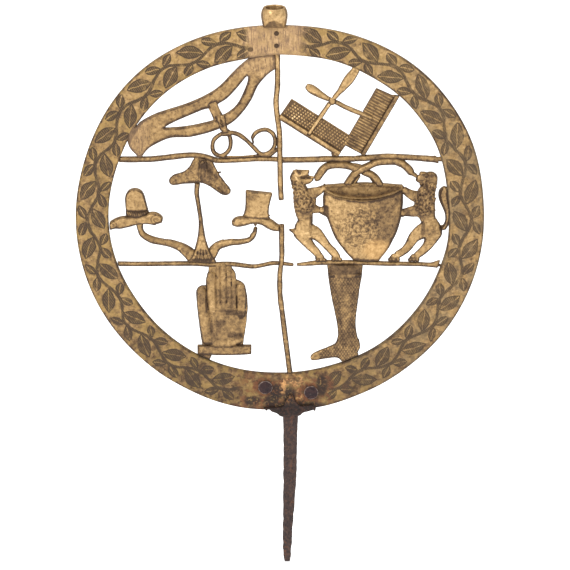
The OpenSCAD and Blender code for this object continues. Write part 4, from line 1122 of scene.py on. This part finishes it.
class EMBLEM_OT_stand(bpy.types.Operator):
    """Cast the branched hat stand with its fluted foot"""

    bl_idname = "emblem.stand"
    bl_label = "Hat Stand"

    def execute(self, context):
        f = Finish("stand brass")
        stem = f.step(f.z, 140, 150) * 0.1
        fluted = f.fade(f.zigzag((f.x + 54.6) * 9.0 / (136 - f.z)), 0.2, 0.7)
        foot = f.oval(-54, 121.6, 6.6, 4.6) * (0.14 + fluted * 0.2)
        gold = f.oval(-54.4, 132, 4.5, 8) * 0.16
        material = brass_surface(f, wear_and_shade_level(f, 0.48, 0.5, 0.46) - stem - foot + gold)
        left_arm = [(-99.4, 147.6, 1.9), (-98.8, 143.2, 1.9), (-96, 138.9, 1.9), (-90.6, 135.9, 2.0), (-83, 134.4, 2.2)]
        right_arm = [(-17.2, 143.4, 1.3), (-18.0, 140.2, 1.4), (-19.6, 138.0, 1.5)]
        root = [(-47.4, 128.0, 2.8), (-44.4, 130.6, 2.8), (-40.2, 133.0, 2.4)]
        for node, limbs, swell in (
            ("stand_stem", (), 0.36),
            ("stand_arm_left", ((left_arm, 0.9),), 0.3),
            ("stand_arm_right", ((right_arm, 0.9), (root, 0.6)), 0.3),
        ):
            bm = node_copy(node)
            for points, flat in limbs:
                add_limb(bm, points, flat)
            if limbs:
                shift_points(bm, lambda x, z: (0, -0.8 * ramp(x, -96, -82) if x < -58 else -0.2 * ramp(-x, 24, 38)))
            cast(node, bm, "figure_brass", material, grain=0.85, rounds=3, dents=0.16, swell=swell)
        return {"FINISHED"}


class EMBLEM_OT_hats(bpy.types.Operator):
    """Cast the cocked hat, the round hat with its curled brim and the top hat"""

    bl_idname = "emblem.hats"
    bl_label = "Hats"

    def execute(self, context):
        self.cast_cocked_hat()
        self.cast_round_hat()
        self.cast_top_hat()
        return {"FINISHED"}

    def cast_cocked_hat(self):
        """The cocked hat's raised edges, its cockade with two ribbons, and a burr on its right edge."""
        bm = node_copy("bicorne_hat")
        for points in (
            [(-76.2, 180.6, 0.9), (-74, 183, 0.9), (-67.5, 185.1, 0.95), (-62.4, 189.4, 1.0), (-60, 194, 1.0)],
            [(-35.6, 170.8, 0.9), (-36.6, 174.4, 0.9), (-39.8, 178.4, 0.95), (-43.6, 184, 1.0), (-47.0, 191, 1.0)],
        ):
            add_limb(bm, points, 1.0, -0.8)
        add_limb(bm, [(-66, 178.6, 0.8), (-56, 179.2, 0.8), (-49, 176.4, 0.8), (-41, 171, 0.8)], 1.0, -2.0)
        add_loop(bm, -54, 193.3, 2.2, 0.6, -2.9)
        add_ball(bm, -54, 193.3, 1.1, -2.9, 0.8)
        add_limb(bm, [(-55.8, 190.6, 0.5, -3.0), (-56.2, 183, 0.5, -3.4), (-56.0, 179.6, 0.5, -2.8)], 0.8)
        add_limb(bm, [(-52.0, 190.8, 0.45, -3.0), (-51.4, 186, 0.45, -3.2), (-51.8, 181.6, 0.4, -2.8)], 0.8)
        add_limb(bm, [(-44.4, 184.6, 0.8), (-41.4, 185.4, 0.55)], 0.9)
        press_back(bm)
        f = Finish("cocked hat brass")
        worn = f.oval(-64, 182, 8, 3.4, 0.6) * 0.14 - f.oval(-52.6, 186, 5, 7, 0.6) * 0.12
        worn = worn - f.oval(-40, 173, 4, 4, 0.6) * 0.1
        material = brass_surface(f, wear_and_shade_level(f, 0.35, 0.7, 0.4) + worn)
        cast("bicorne_hat", bm, "figure_brass", material, grain=0.9, dents=0.2, swell=0.16)

    def cast_round_hat(self):
        """The brim's left end is wound into a curl, and two lines run from it along the brim."""
        cast_node("round_hat_crown", "figure_brass", cast_brass("round hat brass", 0.6, 0.44, 0.6), rounds=4)
        cast_node("round_hat_band", "dark_brass", hatched_brass("round hat band", 0.36, 1.5, 0.35), rounds=3)
        bm = node_copy("round_hat_brim")
        add_loop(bm, -87.2, 151.8, 2.7, 0.7, -3.6, 1.6, 0.7, math.radians(120))
        for points in (
            [(-113.5, 150.4, 0.7), (-106, 152, 0.7), (-100, 152.2, 0.7), (-94, 153.4, 0.75), (-88.6, 154.6, 0.7)],
            [(-113, 145, 0.6), (-106, 146.4, 0.6), (-100, 148.2, 0.6), (-94, 148.6, 0.6), (-88, 147.6, 0.6)],
        ):
            add_limb(bm, points, 1.0, -3.2)
        press_back(bm)
        material = curled_brass("round hat brim brass", 0.54, [(-86.6, 151.6, 5.2), (-118, 147, 4.5)])
        cast("round_hat_brim", bm, "figure_brass", material, grain=0.9, swell=0.3)

    def cast_top_hat(self):
        """Two cords run round the crown's foot, and the stub of the broken arm hangs from the brim."""
        bm = node_copy("top_hat_crown")
        for z in (152.6, 154.4):
            cord = [
                (x, z - 0.05 * (x + 16), 0.42, 0.15 - self.crown_depth(x))
                for x in (-24.6, -22.4, -19, -15.6, -12, -9, -7.6)
            ]
            add_limb(bm, cord, 1.0)
        press_back(bm)
        f = Finish("top hat brass")
        stains = f.oval(-19.6, 169.2, 5, 3, 0.7) * 0.16 + f.oval(-22.6, 161, 1.6, 8, 0.7) * 0.1
        material = brass_surface(f, wear_and_shade_level(f, 0.64, 0.44, 0.55) - stains)
        cast("top_hat_crown", bm, "figure_brass", material, grain=0.8, swell=0.5)
        bm = node_copy("top_hat_brim")
        brim = [(-31.5, 150.6, 0.6), (-26, 151.8, 0.6), (-19, 151.8, 0.6), (-12, 151.2, 0.6), (-6, 148.6, 0.6)]
        add_limb(bm, brim, 1.0, -3.3)
        add_limb(bm, [(-17.2, 149, 1.1), (-17.3, 146.4, 1.0)], 0.9)
        press_back(bm)
        material = curled_brass("top hat brim brass", 0.56, [(-35.4, 149.4, 4.2)])
        cast("top_hat_brim", bm, "figure_brass", material, grain=0.9, swell=0.25)

    def crown_depth(self, x):
        """How far the top hat's round crown stands forward at x."""
        return 4.0 * math.sqrt(max(1 - ((x + 15.6) / 9.7) ** 2, 0))


class EMBLEM_OT_kettle(bpy.types.Operator):
    """Cast the round-bottomed kettle, its hatched mouth and the two rolls above it"""

    bl_idname = "emblem.kettle"
    bl_label = "Kettle and Rolls"

    def execute(self, context):
        self.cast_kettle()
        self.cast_rolls()
        return {"FINISHED"}

    def cast_kettle(self):
        bm = node_copy("kettle_body")
        rim = [(32.2, 170.8), (40, 168.2), (48, 166.6), (58.5, 165.9), (68, 166.8), (77, 169.2), (85.4, 172)]
        lip = [
            (x, z, 0.6, 0.6 - 8 * math.sqrt(max(1 - ((x - 58.8) / 27.7) ** 2, 0)))
            for x, z in smooth_line(rim, 3)
        ]
        add_limb(bm, lip, 1.0)
        add_limb(bm, [(x, z - 2.2, 0.4, y) for x, z, _, y in lip[1:-1]], 1.0)
        press_back(bm)
        shift_points(bm, self.beaten)
        material = kettle_brass("kettle brass")
        cast("kettle_body", bm, "figure_brass", material, grain=1.2, rounds=3, dents=0.3, dent_size=14)
        cast_node("kettle_mouth", "dark_brass", hatched_brass("kettle mouth brass", 0.46, 1.9, 2.4, 0.06, 0.0))

    def beaten(self, x, z):
        """How far the kettle's point at x, z moves: a fuller belly, drawn in at the foot and out at the shoulders."""
        rise = 0.6 * max(34 - max(x, 27), 0) if z < 156 else 0.0
        z += rise
        side = min(max((x - 58.8) / 16, -0.25), 1)
        foot = max((134 - z) / 16, 0)
        corner = 1.3 * max((123 - z) / 5, 0)
        moved = x + (corner if x < 52 else -corner if x > 64 else 0)
        moved += math.sin(math.pi * ramp(158 - z, 0, 42)) * side * 2.8 + foot * (2.3 + 1.7 * side)
        shoulder = ramp(z, 150, 156) * ramp(172 - z, 0, 5)
        if moved > 74:
            moved += 0.6 * shoulder
        elif moved < 44:
            moved -= 1.3 * shoulder
        return moved - x, rise

    def cast_rolls(self):
        """Each roll gets a short end behind the kettle's rim and a longer one that meets a lion's paw."""
        roll = cast_brass("roll brass", 0.43, 0.5, 0.4, 0.9)
        bm = node_copy("left_roll")
        shift_points(bm, lambda x, z: (0, -0.5))
        add_limb(bm, [(48, 190.4, 1.3), (52.4, 190.6, 1.3), (56.4, 189.8, 1.2)], 1.0, -0.4)
        add_limb(bm, [(66.6, 177.6, 1.2), (64.8, 180.2, 1.0), (62.6, 182.8, 0.8)], 0.9)
        add_limb(bm, [(31.0, 187.6, 2.3), (29.0, 185.4, 2.5), (27.1, 182.8, 2.6), (26.5, 181.8, 2.5)], 1.0, -0.4)
        press_back(bm)
        cast("left_roll", bm, "figure_brass", roll, swell=0.4)
        bm = node_copy("right_roll")
        shift_points(bm, lambda x, z: (
            0.2 * ramp(x, 70, 84), 0.4 - (math.exp(-(((x - 60.5) / 5) ** 2)) if z > 186 else 0)
        ))
        add_limb(bm, [(51.6, 176.6, 1.6), (53.2, 179.4, 1.5), (55.2, 182.4, 1.2)], 0.9)
        add_limb(bm, [(83.0, 192.4, 2.3), (87.4, 190.4, 2.5), (90.6, 187.2, 2.6), (91.6, 185.6, 2.4)], 1.0, -0.3)
        add_limb(bm, [(91.4, 184.6, 0.8), (94, 183.2, 0.7), (97, 182.2, 0.7)], 1.0, -0.6)
        press_back(bm)
        cast("right_roll", bm, "figure_brass", roll, swell=0.35)


class EMBLEM_OT_lions(bpy.types.Operator):
    """Build up the two rampant lions from limbs, curls, paws and faces"""

    bl_idname = "emblem.lions"
    bl_label = "Lions"

    def execute(self, context):
        self.cast_left_lion()
        self.cast_right_lion()
        bm = node_copy("right_lion_tail")
        shift_points(bm, lambda x, z: (0.3 + max(x - 112, 0) * 0.18, 0))
        material = cast_brass("tail brass", 0.42, 0.5, 0.5, 0.8)
        cast("right_lion_tail", bm, "figure_brass", material, grain=0.8, rounds=3, swell=0.42)
        return {"FINISHED"}

    def cast_left_lion(self):
        bm = bmesh.new()
        # Back and mane
        mane = [(12.4, 177.6, 4.8), (14.4, 172.4, 5.2), (15.9, 167.4, 6.8), (16.7, 161.6, 7.4), (17.0, 156.2, 6.6)]
        add_limb(bm, [(10.4, 181.2, 3.6), *mane, (17.9, 149.6, 5.6), (16.4, 143.2, 6.6), (15.2, 139.8, 5.6)])
        add_curls(bm, [(9.4, 181.6, 1.8), *mane], 1.3)
        # Head: skull, muzzle, nose, jaw and the open mouth between them
        add_ball(bm, 11.6, 182.0, 4.5, 0, 0.75)
        add_limb(bm, [(12.0, 184.2, 3.3, -0.6), (15.4, 184.6, 2.9, -0.8), (18.0, 185.0, 2.4, -0.8)], 0.9)
        add_ball(bm, 19.5, 186.2, 1.35, -1.0)
        add_ball(bm, 18.8, 184.5, 1.6, -1.0)
        jaw = [(12.6, 179.8, 3.0, -0.3), (16.4, 178.5, 2.6, -0.5), (19.8, 179.0, 2.2, -0.6), (22.4, 180.1, 1.4, -0.6)]
        add_limb(bm, jaw, 0.9)
        add_limb(bm, [(16.2, 182.6, 1.4, -0.2), (18.8, 183.1, 1.0, -0.2)], 0.9)
        add_limb(bm, [(17.0, 181.0, 1.5, 0.1), (20.4, 181.2, 1.2, 0.1), (22.6, 181.2, 0.9, 0.1)], 0.8)
        tongue = [(15.0, 181.4, 0.7), (17.4, 182.5, 0.75), (20, 182.6, 0.8), (23.0, 182.0, 0.85), (25.2, 181.4, 0.85)]
        add_limb(bm, tongue, 0.8, -1.0)
        add_limb(bm, [
            (11.4, 182.4, 0.8, -3.2), (13.4, 179.4, 0.85, -3.0), (15.2, 176.8, 0.85, -2.8), (16.4, 175.0, 0.8, -2.6),
        ], 0.8)
        self.add_eye(bm, 13.4, 185.6, -2.9)
        add_limb(bm, [(9.8, 186.2, 1.2), (11.6, 187.2, 0.9)], 0.9, -1.4)
        # Arms and paws on the kettle
        add_limb(bm, [(18.6, 167.8, 5.4), (22.6, 169.4, 4.6), (26.6, 171.2, 3.4), (29.2, 172.6, 2.8)], 0.66)
        add_paw(bm, 30.0, 173.4, 2.5, 0.8, 0.6)
        add_limb(bm, [(20.6, 167.2, 5.2), (20.8, 163.4, 5.0), (20.6, 159.6, 4.4)], 0.6)
        add_limb(bm, [(19.4, 161, 5.0), (23.4, 158.4, 3.7), (26.4, 157.6, 2.7), (28.6, 157.2, 2.4)], 0.66)
        add_paw(bm, 29.4, 157.6, 2.3, 1, -0.1)
        # Legs and feet on the bar
        rear = [(15.3, 139.6, 5.5), (18.0, 135.2, 4.6), (21.2, 130.8, 3.7), (25.2, 126.4, 3.1), (27.9, 122.8, 2.8)]
        add_limb(bm, rear)
        add_limb(bm, [(26.9, 121.4, 2.2), (30.4, 120.7, 1.7)])
        add_foot(bm, 29.2, 120.8, 2.6)
        add_limb(bm, [
            (18.2, 142.4, 6.3), (24.8, 140.0, 5.1), (29.5, 135.4, 3.8), (33.8, 130.0, 3.1), (37.9, 125.6, 3.1),
            (40.0, 122.4, 2.9),
        ])
        add_limb(bm, [(38.4, 121.3, 2.2), (40.4, 121.0, 1.7)])
        add_foot(bm, 40.2, 121.2, 2.5)
        # The stump of the tail, the rump and two studs on the belly
        add_limb(bm, [(12, 140.6, 2.6), (9.2, 141.8, 1.7), (7.2, 142.4, 1.0)])
        add_limb(bm, [(12.0, 141.6, 3.0), (12.6, 138.4, 2.8), (15.6, 135.6, 3.0)])
        for x, z in ((22.0, 151.6), (14.0, 149.4)):
            add_ball(bm, x, z, 1.0, -1.6)
        press_back(bm)
        # Dark spots: brown patina at the tail's stump, the feet and the back of the head, and painted shade down the
        # flank's crease and in the mouth below the tongue.
        patina_and_shade_spots = [
            (7.5, 142, 2.5, 1.5), (29.6, 120.4, 4.6, 2), (40.4, 120.4, 4, 2), (21.6, 146, 1.2, 7), (8.4, 180.6, 2.4, 4),
            (19.2, 181.1, 3.6, 0.5),
        ]
        manes, eyes = [(14, 174, 8, 6), (18.6, 163, 10.6, 12.6)], [(13.7, 185.2, 1.1, 0.9)]
        material = lion_brass("left lion brass", 0.66, manes, eyes, patina_and_shade_spots)
        cast("left_lion", bm, "figure_brass", material, grain=0.8, rounds=1, dents=0.12, dent_size=3)

    def cast_right_lion(self):
        bm = bmesh.new()
        # Back and mane
        mane = [(105.4, 177.6, 5.4), (103.6, 172.0, 6.1), (102.2, 166.6, 7.2), (101.9, 161, 7.8), (102.9, 155.8, 6.8)]
        add_limb(bm, [*mane, (104.8, 149.8, 5.6), (106.8, 143.6, 7.3), (107.6, 140.4, 6.6)])
        add_curls(bm, [(108.6, 180.4, 1.6), *mane], 1.4)
        # Head: skull, brow, muzzle, nose and jaw
        add_ball(bm, 105.6, 180.6, 5.4, 0, 0.66)
        add_limb(bm, [(102.0, 183.2, 2.6), (107.0, 182.7, 2.7)], 0.9, -0.8)
        add_limb(bm, [(103.4, 181.8, 3.4, -0.6), (100.2, 181.6, 3.1, -0.8), (97.8, 181.6, 2.3, -0.8)], 0.9)
        add_limb(bm, [(99.2, 184.6, 1.7), (101.4, 184.6, 1.6)], 0.9, -1.0)
        add_limb(bm, [(103.4, 178.4, 3.2, -0.4), (100.0, 179.0, 2.6, -0.6), (97.0, 180.0, 1.9, -0.6)], 0.9)
        self.add_eye(bm, 102.4, 183.2, -3.5)
        add_limb(bm, [(107.2, 184.2, 1.3), (108.8, 184.2, 0.9)], 0.9, -1.8)
        # Arms and paws on the kettle
        add_limb(bm, [(100.6, 166.4, 5.6), (95.8, 167.2, 4.4), (91.4, 169.2, 3.4), (88.4, 171.2, 2.9)], 0.66)
        add_paw(bm, 88.0, 172.0, 2.6, -0.9, 0.4)
        add_limb(bm, [(100.4, 158.2, 5.4), (95.4, 156.5, 4.5), (91, 155.9, 3.6), (87.6, 155.5, 2.9)], 0.66)
        add_paw(bm, 87.0, 155.2, 2.8, -1, -0.1)
        # Legs and feet on the bar
        rear = [(108.2, 140.6, 6.8), (106.7, 135.4, 4.9), (104.7, 131, 3.8), (101.6, 127.2, 3.3), (97.4, 123.4, 2.8)]
        add_limb(bm, rear)
        add_limb(bm, [(96.8, 121.8, 2.5), (93.4, 121.2, 1.9)])
        add_foot(bm, 94.8, 121.2, 2.7)
        add_limb(bm, [
            (103.8, 143.2, 6.5), (99.2, 140.5, 5.4), (95.0, 137.0, 4.3), (92.2, 132.3, 3.6), (89.0, 127.7, 3.1),
            (83.8, 124, 2.9),
        ])
        add_limb(bm, [(82.2, 122.0, 2.4), (79.4, 121.4, 2.0)])
        add_foot(bm, 80.8, 121.3, 2.8)
        # The root of the tail and two studs on the belly
        add_limb(bm, [(109.6, 143.6, 3.2), (112.2, 144.0, 2.2), (114.4, 144.6, 1.6), (116.0, 145.4, 1.4)])
        for x, z in ((97.8, 153.4), (107.4, 152.6)):
            add_ball(bm, x, z, 1.2, -1.8)
        press_back(bm)
        # Dark spots: painted shade along the mouth, in the ear's hollow and down the flank's crease, and brown patina
        # at the lower paw and the feet.
        patina_and_shade_spots = [
            (98.6, 180.3, 2.8, 0.5), (106.4, 183.4, 1.6, 1.1), (88, 155, 4, 4), (79.4, 120.6, 4.4, 2),
            (93.6, 120.6, 4.4, 2), (101, 144, 1.2, 7),
        ]
        manes, eyes = [(105, 180, 7, 7), (100, 164, 13, 13)], [(102.6, 182.9, 1.1, 0.9)]
        material = lion_brass("right lion brass", 0.53, manes, eyes, patina_and_shade_spots)
        cast("right_lion", bm, "figure_brass", material, grain=0.8, rounds=1, dents=0.12, dent_size=3)

    def add_eye(self, bm, x, z, y):
        """An eye's ring and its pupil."""
        add_loop(bm, x, z, 1.25, 0.4, y)
        add_ball(bm, x, z, 0.55, y)


class EMBLEM_OT_glove(bpy.types.Operator):
    """Cast the glove with its rounded fingers, its cuff and the link below it"""

    bl_idname = "emblem.glove"
    bl_label = "Glove"

    def execute(self, context):
        bm = node_copy("glove_hand")
        press_front(bm, lambda z: 1.3)
        for finger in (
            [(-51.6, 60, 4.0), (-53.2, 70, 4.2), (-54.8, 82, 4.1), (-55.6, 90, 3.8), (-55.5, 95.8, 3.5)],
            [(-47.6, 74, 2.4), (-48.4, 86, 3.3), (-48.9, 98, 3.5), (-48.7, 108.4, 3.1)],
            [(-43.9, 84, 1.3), (-44.0, 97, 1.5), (-44.0, 116, 1.4)],
            [(-40.4, 83, 1.9), (-40.3, 97, 2.3), (-40.4, 116, 2.2)],
            [(-36.2, 83, 1.6), (-36.2, 97, 1.9), (-36.4, 110.6, 1.9)],
            [(-32.6, 83, 1.5), (-32.6, 97, 1.8), (-33.2, 109.4, 1.7)],
            [(-27.8, 80, 3.0), (-27.4, 90, 3.4), (-27.9, 99.4, 3.3)],
        ):
            add_limb(bm, finger, 0.94, -0.8, steps=36)
        add_limb(bm, [(-40, 76, 12.4), (-40.4, 68, 12.6), (-40.8, 61, 12.2)], 0.2, -0.9)
        add_limb(bm, [(-50, 64, 4.0), (-47, 59, 4.0), (-38, 58, 4.4), (-31, 60, 4.0)], 0.62, -1.0)
        press_back(bm)
        cast("glove_hand", bm, "figure_brass", glove_brass("glove brass"), grain=0.8, rounds=7, dents=0.2, swell=0.34)
        cast_node("glove_cuff", "figure_brass", cast_brass("cuff brass", 0.44))
        cast_node("glove_link", "figure_brass", cast_brass("link brass", 0.36))
        return {"FINISHED"}


class EMBLEM_OT_stocking(bpy.types.Operator):
    """Cast the knitted stocking with its turned top"""

    bl_idname = "emblem.stocking"
    bl_label = "Stocking"

    def execute(self, context):
        bm = node_copy("stocking")
        add_limb(bm, [
            (46.1, 112, 11.4), (46.1, 104, 11.2), (46.6, 90, 9.2), (47.6, 76, 6.6), (47.8, 66, 6.0), (48.8, 56.6, 6.8),
            (48.6, 52.6, 5.4),
        ], 0.38)
        add_limb(bm, [(48.6, 53, 5.4), (42, 50.6, 4.4), (36.4, 49.4, 3.4), (30, 47.8, 2.6), (25.6, 46.6, 1.9)], 0.6)
        add_limb(bm, [(54.6, 58, 2.2), (55, 53.6, 2.4), (53.4, 50, 2.2)], 0.6)
        press_back(bm)
        for vert in bm.verts:
            vert.co.z = min(vert.co.z, 116.4 * MM)
        cast("stocking", bm, "figure_brass", netted_brass("knitted stocking brass", 0.29),
             rounds=3, dents=0.15, swell=0.36)
        return {"FINISHED"}


class EMBLEM_OT_tang(bpy.types.Operator):
    """Forge the rusted tang, its rivets with rubbed rims and their washers"""

    bl_idname = "emblem.tang"
    bl_label = "Iron Tang"

    def execute(self, context):
        iron = rusted_iron("wrought iron")
        bm = node_copy("iron_tang")
        shift_points(bm, self.upset)
        cast("iron_tang", bm, "wrought_iron", iron, "forged", grain=1.1, rounds=4, dents=0.55, swell=0.25)
        bm = node_copy("tang_rivets")
        for x, z in TANG_RIVETS:
            add_loop(bm, x, z, 4.6, 0.62, -2.5, flat=0.8)
        cast("tang_rivets", bm, "rivet_iron", rivet_iron("rivet iron"), "forged",
             grain=0.7, rounds=1, dents=0.25, dent_size=2.2)
        cast("rivet_washers", node_copy("rivet_washers"), "rivet_iron", iron, "forged", grain=0.7, rounds=1, dents=0.2)
        return {"FINISHED"}

    def upset(self, x, z):
        """How far the tang's point at x, z moves: the head's corners up, the left one more, and the tip wider."""
        rise = 2.2 * ramp(abs(x - 7.4), 4.6, 7.6) if z < 4 else 0.0
        if z + rise < 6 and x < -6:
            rise += 1.0
        return (x - 5.4) * 0.25 if z + rise < -112 else 0.0, rise


class EMBLEM_OT_stage(bpy.types.Operator):
    """Lay the pale floor, hang the soft lights and set the camera"""

    bl_idname = "emblem.stage"
    bl_label = "Stage"

    def execute(self, context):
        bm = bmesh.new()
        ground = Matrix.Translation((0, 0, FLOOR_Z))
        bmesh.ops.create_grid(bm, x_segments=1, y_segments=1, size=FLOOR_HALF, matrix=ground)
        mesh = bpy.data.meshes.new("floor")
        bm.to_mesh(mesh)
        bm.free()
        material = bpy.data.materials.new("floor paper")
        material.use_nodes = True
        shader = material.node_tree.nodes["Principled BSDF"]
        shader.inputs["Base Color"].default_value = (*colours().floor, 1)
        shader.inputs["Roughness"].default_value = 0.9
        shader.inputs["Emission Color"].default_value = (1, 1, 1, 1)
        shader.inputs["Emission Strength"].default_value = 0.6
        mesh.materials.append(material)
        floor = bpy.data.objects.new("floor", mesh)
        context.scene.collection.objects.link(floor)

        world = bpy.data.worlds.new("soft room")
        world.use_nodes = True
        world.node_tree.nodes["Background"].inputs["Color"].default_value = (1, 1, 1, 1)
        world.node_tree.nodes["Background"].inputs["Strength"].default_value = 0.6
        context.scene.world = world
        context.scene.view_settings.view_transform = "Standard"

        for name, place, size, power in (
            ("key light", (-1.3, -1.7, 1.9), 0.9, 52),
            ("fill light", (1.7, -1.5, 0.7), 1.2, 8),
            ("top light", (0.1, 0.4, 1.9), 1.0, 14),
        ):
            light = bpy.data.lights.new(name, "AREA")
            light.size, light.energy = size, power
            lamp = bpy.data.objects.new(name, light)
            lamp.location = place
            lamp.rotation_euler = (Vector(LIGHT_TARGET) - Vector(place)).to_track_quat("-Z", "Y").to_euler()
            context.scene.collection.objects.link(lamp)

        camera = bpy.data.cameras.new("camera")
        camera.sensor_width = 36
        camera.lens = CAMERA_LENS
        holder = bpy.data.objects.new("camera", camera)
        holder.location = CAMERA_PLACE
        holder.rotation_euler = (math.radians(CAMERA_TILT), 0, 0)
        context.scene.collection.objects.link(holder)
        context.scene.camera = holder
        return {"FINISHED"}


PIECES = (
    EMBLEM_OT_ring, EMBLEM_OT_socket, EMBLEM_OT_rods, EMBLEM_OT_collar, EMBLEM_OT_cards, EMBLEM_OT_stand,
    EMBLEM_OT_hats, EMBLEM_OT_kettle, EMBLEM_OT_lions, EMBLEM_OT_glove, EMBLEM_OT_stocking, EMBLEM_OT_tang,
    EMBLEM_OT_stage,
)


class EMBLEM_PT_panel(bpy.types.Panel):
    """The emblem's settings and pieces"""

    bl_idname = "EMBLEM_PT_panel"
    bl_label = "Pole Emblem"
    bl_space_type = "VIEW_3D"
    bl_region_type = "UI"
    bl_category = "Emblem"

    def draw(self, context):
        for group in (sizes(), colours()):
            box = self.layout.box()
            for name in group.__annotations__:
                box.prop(group, name)
        for piece in PIECES:
            self.layout.operator(piece.bl_idname)


CLASSES = (EmblemSizes, EmblemColours, EmblemSettings, *PIECES, EMBLEM_PT_panel)


def register():
    for made in CLASSES:
        bpy.utils.register_class(made)
    bpy.types.Scene.emblem = bpy.props.PointerProperty(type=EmblemSettings)


def unregister():
    del bpy.types.Scene.emblem
    for made in reversed(CLASSES):
        bpy.utils.unregister_class(made)


def main():
    """Builds every piece in order."""
    register()
    for piece in PIECES:
        group, name = piece.bl_idname.split(".")
        getattr(getattr(bpy.ops, group), name)()


if __name__ == "__main__":
    main()
